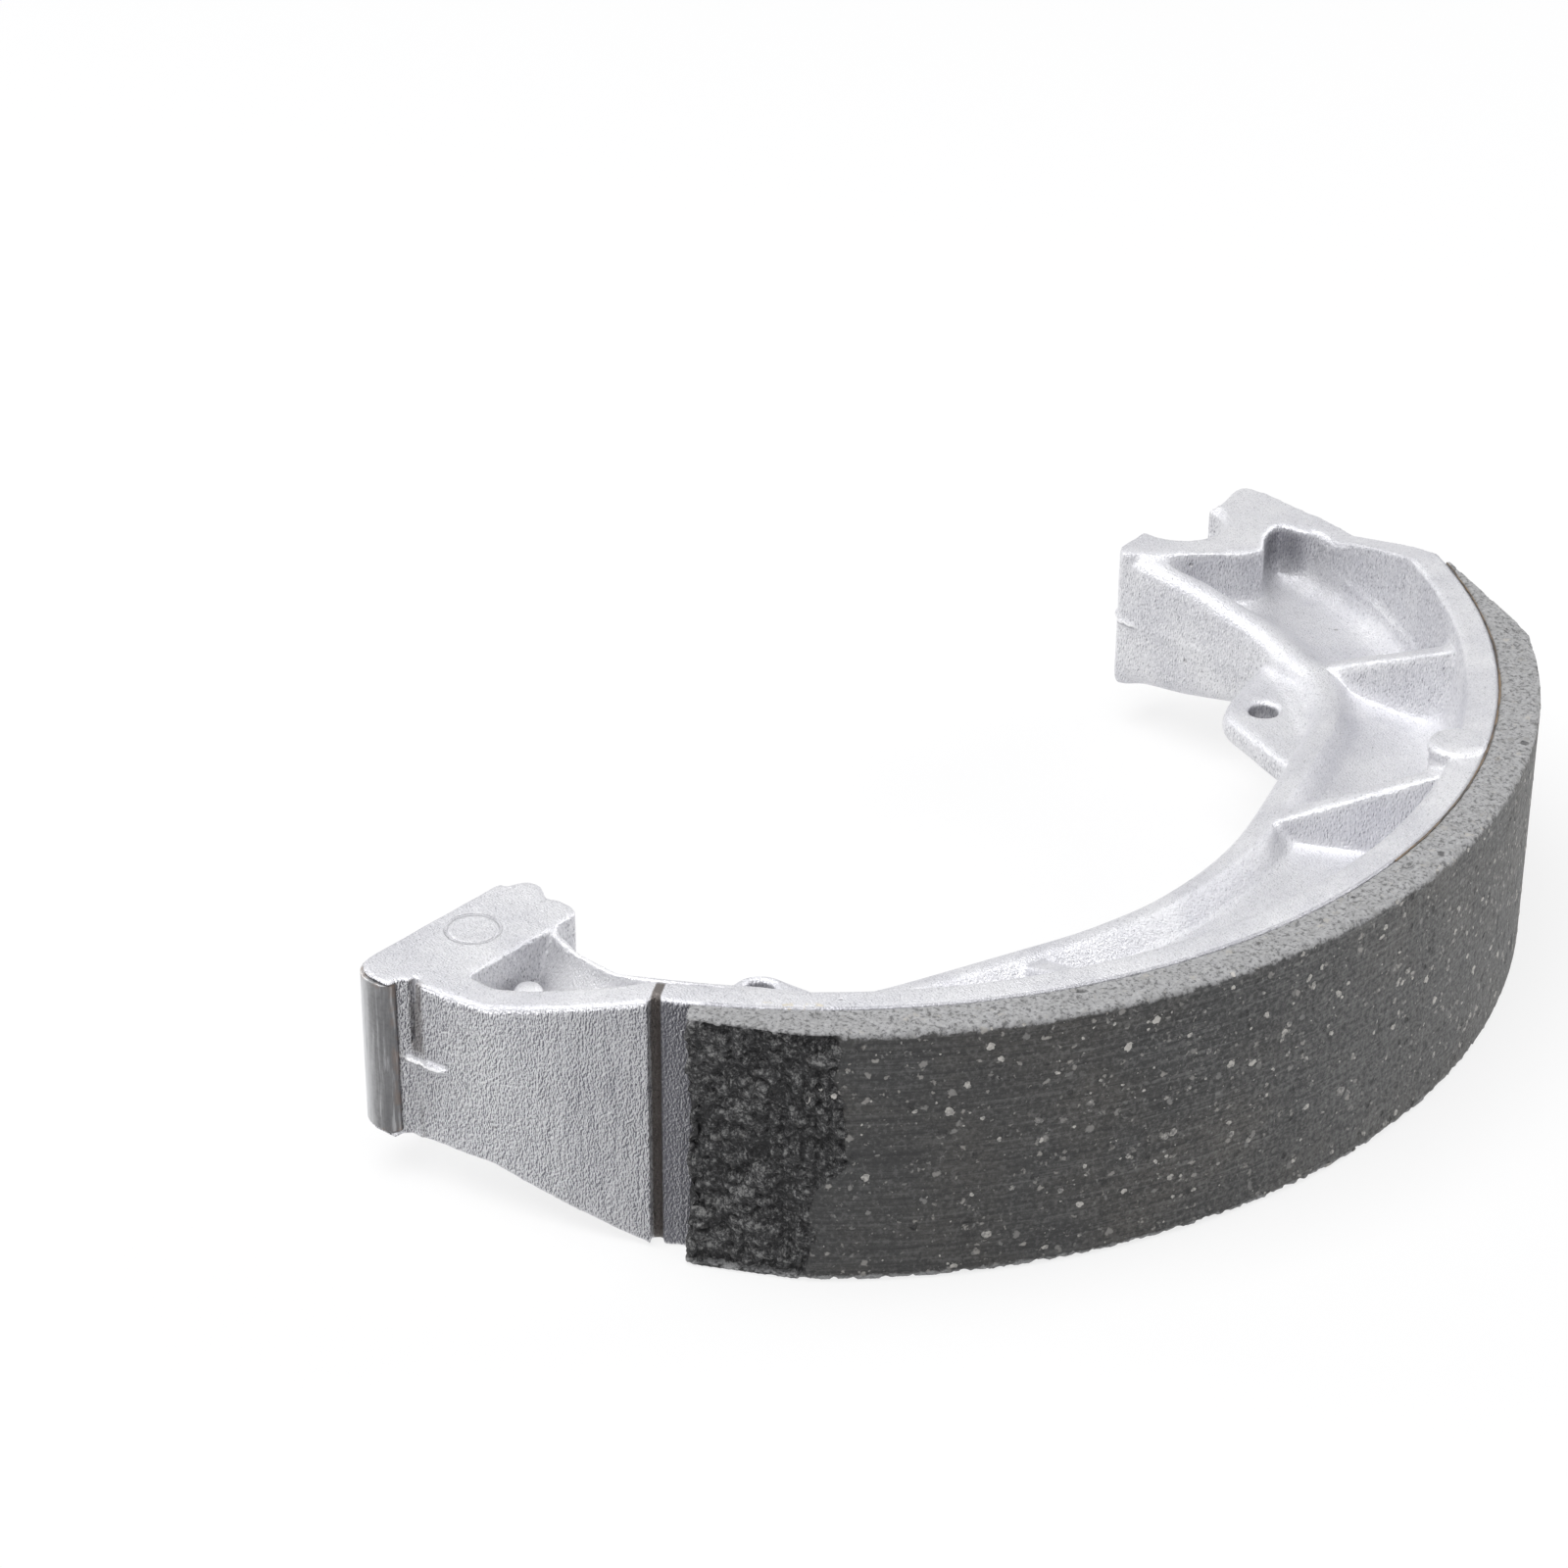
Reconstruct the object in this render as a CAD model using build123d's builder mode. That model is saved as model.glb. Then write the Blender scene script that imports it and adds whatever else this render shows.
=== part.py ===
"""Brake shoe for a small drum brake: a die-cast aluminium shoe, its bonded
friction lining and the steel wear plate held in its cam end.

Lengths are in millimetres and angles in degrees.  The drum's axis is the Z
axis, the shoe lies on z = 0, and the middle of the lining looks along +X.
The cam end is at -Y and the anchor end at +Y.  The casting is parted at its
mid-plane, so its walls stand the same on both sides of that plane.
"""
import os
from math import cos, radians, sin, sqrt

from build123d import *

os.makedirs("parts", exist_ok=True)

# Lining
lining_radius = 80.0
lining_thickness = 4.5
lining_cam_angle = -58.0
lining_cam_lip = 2.8
lining_cam_slope_angle = -50.5
lining_anchor_angle = 56.0
lining_anchor_lip = 0.6
lining_anchor_slope_angle = 42.5

# Rim
shoe_width = 29.0
rim_wall = 3.5
rim_draft = 0.9
rim_edge = 0.4
rim_foot_radius = 3.2
rim_cam_angle = -62.0
rim_anchor_angle = 76.0
cam_wall_rise = 0.6
cam_wall_fall = 0.9
cam_wall_land = 0.6
anchor_wall_start = 62.0
anchor_wall_sag = (14.4, 1.7)
register_angle = -61.4
register_width = 1.1
register_depth = 0.8

# Web and bead
web_thickness = 4.2
bead_setback = 24.2
bead_height = 8.8
bead_draft = 0.7
bead_round = 2.2
bead_crest = 0.9
bead_slope = 2.6
bead_cam_turn = -21.0
bead_cam_straight = 17.0
bead_cam_end_place = 27.6
bead_cam_end_depth = 0.9
bead_anchor_turn = 18.0
bead_anchor_straight = 19.5
bead_anchor_end_place = 27.3
bead_anchor_end_depth = 0.3
web_fill_reach = 8.7

# Cam end block and wear plate
cam_block_height = 18.6
cam_face = 3.4
cam_block_back = 13.9
cam_block_over = 1.3
cam_notch_place = 9.5
cam_notch_depth = 0.6
cam_taper_start = -61.8
cam_taper_end = -75.0
plate_thickness = 1.5
plate_lip = 0.5
plate_bend = 3.2
plate_length = 21.9
plate_tab_end = 9.0
tab_seat_depth = 4.1
slit_start = 9.9
slit_mouth = 0.9
slit_tip = 0.4
slit_depth = 1.6
slit_height = 8.4
lip_setback = 0.3
ejector_mark_place = 8.1
ejector_mark_setback = 9.9
ejector_mark_radius = 2.7
ejector_mark_depth = 0.25

# Bridge wall beside the cam end pocket
bridge_thickness = 3.2
bridge_rim_angle = -48.9
bridge_bends = ((21.1, -4.9), (10.6, -7.6), (5.1, -7.3), (-0.9, -5.1))
bridge_rim_drop = 1.3
bridge_block_drop = 0.6
bridge_shoulder = 10.6
bridge_shoulder_drop = 0.3
pocket_boss_angle = -62.3
pocket_boss_radius = 1.6
pocket_wall_depth = 5.2

# Anchor end block
anchor_block_height = 17.8
anchor_face = 5.2
anchor_place = 6.3
anchor_setback = 14.9
anchor_radius = 5.1
anchor_lip = 0.8
anchor_outer_wall = 7.9
anchor_inner_wall = 7.2
anchor_slant = (1.6, 0.7)
anchor_corner = 1.6
anchor_taper_start = 57.5
anchor_taper_end = 70.8
flange_round = 2.0
flange_sections = (
    (6.6, 0.0, 0.3, 2.9, 4.7),
    (16.0, 0.0, 1.1, 2.9, 8.5),
    (24.0, -0.2, 3.0, 2.7, 8.7),
    (27.3, -0.7, 3.8, 2.5, 7.9),
    (30.5, -1.9, 4.3, 1.7, 6.5),
    (36.5, -3.9, 4.6, -0.9, 2.5),
)

# Ribs
rib_thickness = 2.8
rib_rim_drop = 1.7
rib_lines = (
    ((1.25, 42.5), (9.45, 54.2)),
    ((-0.55, 19.6), (2.1, 17.2)),
    ((2.75, -24.6), (4.0, -25.4)),
)

# Spring ears
ear_thickness = 3.2
ear_round = 0.8
spring_hole_radius = 1.65
spring_hole_flare = 0.5
ear_rise = 0.7
anchor_ear_angle = 49.2
anchor_ear_nose = (0.1, -0.9)
anchor_ear_radius = 4.1
anchor_ear_base = ((11.0, -9.6), (13.5, -5.9), (4.0, 6.6), (-6.0, 9.6), (-6.4, 4.6))
cam_ear_angle = -55.7
cam_ear_nose = (0.6, -0.6)
cam_ear_radius = 3.6
cam_ear_base = ((5.7, 3.7), (8.7, -0.1), (1.7, -8.6), (-2.0, -4.9))

# Ejector column on the upper side
column_angle = 22.1
column_rise = 0.3
column_radius = 3.0

# Sizes that follow from those above
middle = shoe_width / 2
bond_radius = lining_radius - lining_thickness
rim_inner_radius = bond_radius - rim_wall
bead_radius = bond_radius - bead_setback
half_web = web_thickness / 2
half_bead = bead_height / 2
half_cam = cam_block_height / 2
half_anchor = anchor_block_height / 2
half_ear = ear_thickness / 2
bridge_rim_height = middle - bridge_rim_drop
bridge_block_height = half_cam - bridge_block_drop
bridge_shoulder_height = half_cam - bridge_shoulder_drop
rib_rim_height = middle - rib_rim_drop
plate_height = cam_block_height - 2 * plate_lip
plate_tab_level = -(bond_radius + cam_wall_rise)
plate_end = plate_tab_level + plate_length
cam_block_end = plate_end + cam_block_over
seat_face = cam_face + plate_thickness
seat_level = plate_tab_level + plate_thickness
seat_bend = plate_bend - plate_thickness
block_floor = seat_level + tab_seat_depth
anchor_level = bond_radius - anchor_setback
anchor_centre = (anchor_place, anchor_level)
anchor_arm = anchor_level + anchor_radius + anchor_outer_wall
flange_face = anchor_level - anchor_radius - anchor_inner_wall
mid_plane = Plane.XY.offset(middle)


def polar(radius, angle):
    """Return the plan point at a radius and an angle."""
    return (radius * cos(radians(angle)), radius * sin(radians(angle)))


def along(point, angle, distance):
    """Return the plan point reached from a point by going a distance at an angle."""
    step = polar(distance, angle)
    return (point[0] + step[0], point[1] + step[1])


def beside(point, steps):
    """Return the plan points that lie at the given steps from a point."""
    return [(point[0] + step[0], point[1] + step[1]) for step in steps]


def radial_plane(angle):
    """Return the upright plane through the drum's axis at an angle.

    Its x runs outwards from the axis and its y runs up from the mid-plane.
    """
    outward = (cos(radians(angle)), sin(radians(angle)), 0)
    across = (sin(radians(angle)), -cos(radians(angle)), 0)
    return Plane(origin=(0, 0, middle), x_dir=outward, z_dir=across)


def upright_plane(start, end):
    """Return the upright plane that holds the plan line from start to end.

    Its x runs along the line from start and its y runs up from the mid-plane.
    """
    length = sqrt((end[0] - start[0]) ** 2 + (end[1] - start[1]) ** 2)
    forward = ((end[0] - start[0]) / length, (end[1] - start[1]) / length, 0)
    across = (forward[1], -forward[0], 0)
    return Plane(origin=(start[0], start[1], middle), x_dir=forward, z_dir=across)


def taper_section(start_angle, end_angle, end_half_height, turn):
    """Return the two wedges that take the rim from full width to an end's height."""
    start = polar(bond_radius, start_angle)
    run = bond_radius * sin(radians(abs(end_angle - start_angle)))
    with BuildSketch(upright_plane(start, along(start, start_angle + turn, run))) as wedges:
        for side in (1, -1):
            with BuildLine():
                Polyline(
                    (0, side * middle),
                    (run, side * end_half_height),
                    (run + 30, side * end_half_height),
                    (run + 30, side * (middle + 2)),
                    (0, side * (middle + 2)),
                    close=True,
                )
            make_face()
    return wedges.sketch


bead_cam_point = polar(bead_radius, bead_cam_turn)
bead_cam_corner = along(bead_cam_point, bead_cam_turn - 90, bead_cam_straight)
bead_anchor_point = polar(bead_radius, bead_anchor_turn)
bead_anchor_corner = along(bead_anchor_point, bead_anchor_turn + 90, bead_anchor_straight)
cam_wall_start = polar(bond_radius + cam_wall_rise, register_angle - 0.4)
cam_wall_middle = polar(bond_radius - 0.1, -71.5)
cam_wall_edge = plate_tab_end + cam_wall_land
cam_wall_end = (cam_wall_edge, -sqrt((bond_radius - cam_wall_fall) ** 2 - cam_wall_edge**2))
bead_cam_end = (bead_cam_end_place, cam_block_end - bead_cam_end_depth)
bead_anchor_end = (bead_anchor_end_place, flange_face + bead_anchor_end_depth)
anchor_ear = polar(bead_radius + ear_rise, anchor_ear_angle)
cam_ear = polar(bead_radius + ear_rise, cam_ear_angle)
pocket_wall_end = (cam_block_back, seat_level + pocket_wall_depth)
bridge_line = [polar(rim_inner_radius, bridge_rim_angle)]
bridge_line += beside((cam_block_back, cam_block_end), bridge_bends)

with BuildPart() as shoe_casting:
    # Rim: a wall with draft to both sides of the mid-plane, turned in one arc.
    with BuildSketch(radial_plane(rim_cam_angle)):
        with BuildLine():
            Polyline(
                (bond_radius, middle),
                (rim_inner_radius + rim_edge, middle),
                (rim_inner_radius, middle - rim_edge),
                (rim_inner_radius - rim_draft, 0),
                (rim_inner_radius, rim_edge - middle),
                (rim_inner_radius + rim_edge, -middle),
                (bond_radius, -middle),
                close=True,
            )
        make_face()
    revolve(axis=Axis.Z, revolution_arc=rim_anchor_angle - rim_cam_angle)

    # Cam end of the rim: its outer wall stands proud of the lining's bed.
    with BuildSketch(mid_plane):
        with BuildLine():
            ThreePointArc(cam_wall_start, cam_wall_middle, cam_wall_end)
            Line(cam_wall_end, (plate_tab_end, seat_level))
            Line((plate_tab_end, seat_level), (plate_tab_end, block_floor))
            Line((plate_tab_end, block_floor), pocket_wall_end)
            ThreePointArc(
                pocket_wall_end,
                polar(rim_inner_radius, -70.0),
                polar(rim_inner_radius, register_angle - 0.4),
            )
            Line(polar(rim_inner_radius, register_angle - 0.4), cam_wall_start)
        make_face()
    extrude(amount=middle, both=True)

    # Anchor end of the rim: its outer wall falls inside the lining's bed.
    with BuildSketch(mid_plane):
        with BuildLine():
            ThreePointArc(
                polar(bond_radius, anchor_wall_start),
                (anchor_face + anchor_wall_sag[0], anchor_arm - anchor_wall_sag[1]),
                (anchor_face + anchor_corner, anchor_arm),
            )
            Polyline(
                (anchor_face + anchor_corner, anchor_arm),
                (anchor_face + anchor_corner, anchor_arm + shoe_width),
                (bead_anchor_end_place, anchor_arm + shoe_width),
                polar(bond_radius, anchor_wall_start),
            )
        make_face()
    extrude(amount=middle + 1, both=True, mode=Mode.SUBTRACT)
    cam_wedges = taper_section(cam_taper_start, cam_taper_end, half_cam, -90)
    extrude(cam_wedges, amount=60, both=True, mode=Mode.SUBTRACT)
    anchor_wedges = taper_section(anchor_taper_start, anchor_taper_end, half_anchor, 90)
    extrude(anchor_wedges, amount=60, both=True, mode=Mode.SUBTRACT)

    # Web: a plate at the mid-plane that flares into the rim.
    with BuildSketch(radial_plane(-52.0)):
        with BuildLine():
            foot = rim_inner_radius - rim_draft
            Line((foot + 1, half_web + rim_foot_radius), (foot, half_web + rim_foot_radius))
            RadiusArc(
                (foot, half_web + rim_foot_radius),
                (foot - rim_foot_radius, half_web),
                rim_foot_radius,
            )
            Line((foot - rim_foot_radius, half_web), (bead_radius + 4, half_web))
            Line((bead_radius + 4, half_web), (bead_radius + 4, -half_web))
            Line((bead_radius + 4, -half_web), (foot - rim_foot_radius, -half_web))
            RadiusArc(
                (foot - rim_foot_radius, -half_web),
                (foot, -half_web - rim_foot_radius),
                rim_foot_radius,
            )
            Line((foot, -half_web - rim_foot_radius), (foot + 1, -half_web - rim_foot_radius))
            Line((foot + 1, -half_web - rim_foot_radius), (foot + 1, half_web + rim_foot_radius))
        make_face()
    revolve(axis=Axis.Z, revolution_arc=127)
    with BuildSketch(mid_plane):
        with BuildLine():
            Polyline(
                (cam_block_back - 1, cam_block_end - 0.5),
                *beside(cam_ear, ((-2.1, -3.9), (6.7, 1.4))),
                polar(bead_radius + web_fill_reach, -35),
                polar(rim_inner_radius, -45),
                polar(rim_inner_radius + 1, -62),
                polar(rim_inner_radius + 1, -77),
                (cam_block_back - 1, block_floor + 2.5),
                close=True,
            )
        make_face()
        with BuildLine():
            Polyline(
                *beside((bead_anchor_end_place, flange_face), ((-17.3, 2.7), (0.7, 1.3), (8.7, -1.3))),
                polar(bead_radius + web_fill_reach, 40),
                polar(rim_inner_radius - 1, 60),
                polar(rim_inner_radius, 80),
                (bead_anchor_end_place - 17.3, anchor_arm - 5.6),
                close=True,
            )
        make_face()
    extrude(amount=half_web, both=True)

    # Bead: the web's inner edge thickens towards both sides.
    with BuildLine() as bead_path:
        TangentArc(bead_cam_corner, bead_cam_end, tangent=(bead_cam_corner[0] - bead_cam_point[0],
                                                           bead_cam_corner[1] - bead_cam_point[1]))
        Line(bead_cam_corner, bead_cam_point)
        CenterArc((0, 0), bead_radius, bead_cam_turn, bead_anchor_turn - bead_cam_turn)
        Line(bead_anchor_point, bead_anchor_corner)
        TangentArc(bead_anchor_corner, bead_anchor_end,
                   tangent=(bead_anchor_corner[0] - bead_anchor_point[0],
                            bead_anchor_corner[1] - bead_anchor_point[1]))
    with BuildSketch(radial_plane(0)):
        with BuildLine():
            inner_face = bead_radius - bead_draft
            Line((inner_face, 0), (bead_radius, half_bead - bead_round))
            RadiusArc(
                (bead_radius, half_bead - bead_round),
                (bead_radius + bead_round, half_bead),
                bead_round,
            )
            Line((bead_radius + bead_round, half_bead),
                 (bead_radius + bead_round + bead_crest, half_bead))
            Line((bead_radius + bead_round + bead_crest, half_bead),
                 (bead_radius + bead_round + bead_crest + bead_slope, half_web - 0.2))
            Line((bead_radius + bead_round + bead_crest + bead_slope, half_web - 0.2),
                 (bead_radius + bead_round + bead_crest + bead_slope, 0))
            mirror(about=Plane.XZ)
        make_face()
    sweep(path=bead_path.wires()[0].moved(Location((0, 0, middle))), mode=Mode.ADD)

    # Cam end block, with a small notch beside the end of the wear plate.
    with BuildSketch(mid_plane):
        with BuildLine():
            Line((cam_block_back, block_floor), (cam_block_back, cam_block_end - 1.2))
            RadiusArc(
                (cam_block_back, cam_block_end - 1.2),
                (cam_block_back - 1.8, cam_block_end),
                -1.8,
            )
            cam_notch = (cam_notch_place, cam_block_end - cam_notch_depth)
            Line((cam_block_back - 1.8, cam_block_end), (cam_notch_place + 1.0, cam_block_end))
            Line((cam_notch_place + 1.0, cam_block_end), cam_notch)
            Line(cam_notch, (7.2, cam_block_end + 0.9))
            RadiusArc((7.2, cam_block_end + 0.9), (seat_face, plate_end), -2.2)
            Line((seat_face, plate_end), (seat_face, seat_level + seat_bend))
            RadiusArc(
                (seat_face, seat_level + seat_bend),
                (seat_face + seat_bend, seat_level),
                -seat_bend,
            )
            Line((seat_face + seat_bend, seat_level), (plate_tab_end, seat_level))
            Line((plate_tab_end, seat_level), (plate_tab_end, block_floor))
            Line((plate_tab_end, block_floor), (cam_block_back, block_floor))
        make_face()
    extrude(amount=half_cam, both=True)

    # Bridge wall from the rim to the cam end block, closing off the pocket.
    with BuildPart(mode=Mode.PRIVATE) as bridge:
        with BuildSketch(mid_plane):
            with BuildLine():
                bridge_curve = Spline(*bridge_line)
            trace(bridge_curve, line_width=bridge_thickness)
        extrude(amount=bridge_rim_height, both=True)
        with BuildSketch(Plane(origin=(0, 0, middle), x_dir=(1, 0, 0), z_dir=(0, -1, 0))):
            for side in (1, -1):
                with BuildLine():
                    Polyline(
                        (bridge_line[0][0], side * bridge_rim_height),
                        (cam_block_back + bridge_shoulder, side * bridge_shoulder_height),
                        (bridge_line[-1][0] - 3, side * bridge_block_height),
                        (bridge_line[-1][0] - 3, side * middle),
                        (bridge_line[0][0], side * middle),
                        close=True,
                    )
                make_face()
        extrude(amount=90, both=True, mode=Mode.SUBTRACT)
    add(bridge.part)

    # Anchor end block: a fork whose half-round notch seats on the anchor pin.
    with BuildSketch(mid_plane):
        with BuildLine():
            Polyline(
                (anchor_face + anchor_corner, anchor_arm),
                *beside((anchor_face, anchor_arm), ((6.6, -0.7), (14.4, -1.8))),
                *beside(anchor_centre, ((14.0, 6.8), (11.4, 6.9), (9.8, 6.7), (9.6, 5.2))),
                *beside(anchor_centre, ((10.3, 3.0), (12.1, 0.3), (11.9, -1.1), (11.1, -2.6))),
                (anchor_face + 6.2, flange_face + 4.1),
                (anchor_face + 1.4, flange_face),
                (anchor_face, flange_face + 1.6),
                (anchor_face, anchor_level),
                (anchor_face + anchor_slant[0], anchor_level + anchor_radius + anchor_slant[1]),
                (anchor_face, anchor_arm - anchor_corner),
            )
            RadiusArc(
                (anchor_face, anchor_arm - anchor_corner),
                (anchor_face + anchor_corner, anchor_arm),
                anchor_corner,
            )
        make_face()
    extrude(amount=half_anchor, both=True)

    # Flange that carries the bead on to the anchor end block, rising as it goes.
    for x, face, drop, crest, foot in flange_sections:
        height = half_anchor - drop
        with BuildSketch(Plane(origin=(x, flange_face, middle), x_dir=(0, 1, 0), z_dir=(1, 0, 0))):
            with BuildLine():
                Line((face, 0), (face + 0.4, height - flange_round))
                RadiusArc(
                    (face + 0.4, height - flange_round),
                    (face + 0.4 + flange_round, height),
                    flange_round,
                )
                Line((face + 0.4 + flange_round, height), (crest, height))
                Line((crest, height), (foot, half_web - 0.2))
                Line((foot, half_web - 0.2), (foot, 0))
                mirror(about=Plane.XZ)
            make_face()
    loft(ruled=True)

    # Ribs: a gusset on each side of the web from the rim down to the bead.
    for top, low in rib_lines:
        rib_top = polar(rim_inner_radius + top[0], top[1])
        rib_low = polar(bead_radius + low[0], low[1])
        rib_length = sqrt((rib_low[0] - rib_top[0]) ** 2 + (rib_low[1] - rib_top[1]) ** 2)
        with BuildSketch(upright_plane(rib_top, rib_low)):
            with BuildLine():
                Polyline(
                    (0, 0),
                    (0, rib_rim_height),
                    (rib_length, half_bead - 0.3),
                    (rib_length, 0),
                )
                mirror(about=Plane.XZ)
            make_face()
        extrude(amount=rib_thickness / 2, both=True)

    # Spring ears: thin plates at the mid-plane with rounded rims.
    for ear, nose, radius, base in (
        (anchor_ear, anchor_ear_nose, anchor_ear_radius, anchor_ear_base),
        (cam_ear, cam_ear_nose, cam_ear_radius, cam_ear_base),
    ):
        with BuildPart(mode=Mode.PRIVATE) as ear_plate:
            with BuildSketch(mid_plane):
                with Locations(*beside(ear, (nose,))):
                    Circle(radius)
                with BuildLine():
                    Polyline(*beside(ear, base), close=True)
                make_face()
                make_hull()
            extrude(amount=half_ear, both=True)
            fillet(ear_plate.edges().filter_by(Plane.XY), ear_round)
        add(ear_plate.part)

    # Column and pocket bosses left by the die.
    with BuildSketch(mid_plane):
        with Locations(polar(rim_inner_radius + column_rise, column_angle)):
            Circle(column_radius)
    extrude(amount=middle)
    with BuildSketch(mid_plane):
        with Locations(polar(rim_inner_radius - 0.5, pocket_boss_angle)):
            Circle(pocket_boss_radius)
    extrude(amount=half_cam, both=True)

    # Half-round notch for the anchor pin, eased at both mouths.
    with BuildSketch(mid_plane):
        with Locations(anchor_centre):
            Circle(anchor_radius)
    extrude(amount=half_anchor + 1, both=True, mode=Mode.SUBTRACT)
    for side in (1, -1):
        with BuildSketch(Plane(origin=(anchor_centre[0], anchor_centre[1],
                                       middle + side * half_anchor),
                               z_dir=(0, 0, -side))):
            Circle(anchor_radius + anchor_lip)
        extrude(amount=anchor_lip, taper=45, mode=Mode.SUBTRACT)

    # Spring holes, flared at both mouths.
    for ear in (anchor_ear, cam_ear):
        with BuildSketch(mid_plane):
            with Locations(ear):
                Circle(spring_hole_radius)
        extrude(amount=half_ear + 1, both=True, mode=Mode.SUBTRACT)
        for side in (1, -1):
            with BuildSketch(Plane(origin=(ear[0], ear[1], middle + side * half_ear),
                                   z_dir=(0, 0, -side))):
                Circle(spring_hole_radius + spring_hole_flare)
            extrude(amount=spring_hole_flare, taper=45, mode=Mode.SUBTRACT)

    # Register groove across the rim beside the lining's cam end.
    with BuildSketch(mid_plane):
        with Locations(Location(polar(bond_radius + 1, register_angle), register_angle)):
            Rectangle(2 * register_depth + 2, register_width)
    extrude(amount=middle + 1, both=True, mode=Mode.SUBTRACT)

    # Wedge slit beside the wear plate's tab, open at the upper side.
    for level, width in ((cam_block_height, slit_mouth), (cam_block_height - slit_height, slit_tip)):
        with BuildSketch(Plane.XY.offset(middle - half_cam + level)):
            with BuildLine():
                Polyline(
                    (slit_start, plate_tab_level),
                    (slit_start + width, plate_tab_level),
                    (slit_start + width, seat_level + slit_depth),
                    (slit_start, seat_level + slit_depth),
                    close=True,
                )
            make_face()
    loft(mode=Mode.SUBTRACT)

    # Lips: the casting's skin wraps over both edges of the wear plate.
    for side in (1, -1):
        with BuildSketch(Plane.XY.offset(middle + side * half_cam)):
            with BuildLine():
                lip_face = cam_face + lip_setback
                lip_level = plate_tab_level + lip_setback
                lip_bend = plate_bend - lip_setback
                Line((seat_face + 2, plate_end - lip_setback), (lip_face, plate_end - lip_setback))
                Line((lip_face, plate_end - lip_setback), (lip_face, lip_level + lip_bend))
                RadiusArc((lip_face, lip_level + lip_bend), (lip_face + lip_bend, lip_level), -lip_bend)
                Line((lip_face + lip_bend, lip_level), (plate_tab_end, lip_level))
                Line((plate_tab_end, lip_level), (plate_tab_end, seat_level + 2))
                Line((plate_tab_end, seat_level + 2), (seat_face + 2, plate_end - lip_setback))
            make_face()
        extrude(amount=-side * (cam_block_height - plate_height) / 2)

    # Ejector pin's mark on the cam end block's upper side.
    with BuildSketch(Plane.XY.offset(middle + half_cam)):
        with Locations((ejector_mark_place, cam_block_end - ejector_mark_setback)):
            Circle(ejector_mark_radius)
    extrude(amount=-ejector_mark_depth, mode=Mode.SUBTRACT)
shoe_casting.part.label = "shoe_casting"
export_step(shoe_casting.part, "parts/shoe_casting.step")

with BuildPart() as friction_lining:
    with BuildSketch():
        with BuildLine():
            cam_lip = polar(bond_radius + lining_cam_lip, lining_cam_angle)
            cam_slope = polar(lining_radius, lining_cam_slope_angle)
            anchor_slope = polar(lining_radius, lining_anchor_slope_angle)
            anchor_edge = polar(bond_radius + lining_anchor_lip, lining_anchor_angle)
            Line(polar(bond_radius, lining_cam_angle), cam_lip)
            Line(cam_lip, cam_slope)
            ThreePointArc(cam_slope, (lining_radius, 0), anchor_slope)
            Line(anchor_slope, anchor_edge)
            Line(anchor_edge, polar(bond_radius, lining_anchor_angle))
            ThreePointArc(
                polar(bond_radius, lining_anchor_angle),
                (bond_radius, 0),
                polar(bond_radius, lining_cam_angle),
            )
        make_face()
    extrude(amount=shoe_width)
friction_lining.part.label = "friction_lining"
export_step(friction_lining.part, "parts/friction_lining.step")

with BuildPart() as cam_wear_plate:
    # Bent strip: its face takes the cam and its tab hooks round the block.
    with BuildSketch(mid_plane):
        with BuildLine():
            Line((seat_face, plate_end), (seat_face, seat_level + seat_bend))
            RadiusArc(
                (seat_face, seat_level + seat_bend),
                (seat_face + seat_bend, seat_level),
                -seat_bend,
            )
            Line((seat_face + seat_bend, seat_level), (plate_tab_end, seat_level))
            RadiusArc(
                (plate_tab_end, seat_level),
                (plate_tab_end - plate_thickness, plate_tab_level),
                plate_thickness,
            )
            Line(
                (plate_tab_end - plate_thickness, plate_tab_level),
                (cam_face + plate_bend, plate_tab_level),
            )
            RadiusArc(
                (cam_face + plate_bend, plate_tab_level),
                (cam_face, plate_tab_level + plate_bend),
                plate_bend,
            )
            Line((cam_face, plate_tab_level + plate_bend), (cam_face, plate_end - 0.9))
            RadiusArc(
                (cam_face, plate_end - 0.9),
                (cam_face + 0.9, plate_end),
                0.9,
            )
            Line((cam_face + 0.9, plate_end), (seat_face, plate_end))
        make_face()
    extrude(amount=plate_height / 2, both=True)
cam_wear_plate.part.label = "cam_wear_plate"
export_step(cam_wear_plate.part, "parts/cam_wear_plate.step")
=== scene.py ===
"""A drum brake's shoe: a blasted aluminium casting, its bonded friction lining
and the steel wear plate in its cam end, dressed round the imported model.

The drum's axis is Z and the middle of the lining looks along +X.  The cam end
is at -Y and the anchor end at +Y.  Lengths are in metres and angles in radians.
"""

import json
import logging
from dataclasses import dataclass
from enum import Enum
from math import cos, radians, sin
from typing import Optional, Union

import bmesh
import bpy
import numpy as np
from mathutils import Matrix, Vector


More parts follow.
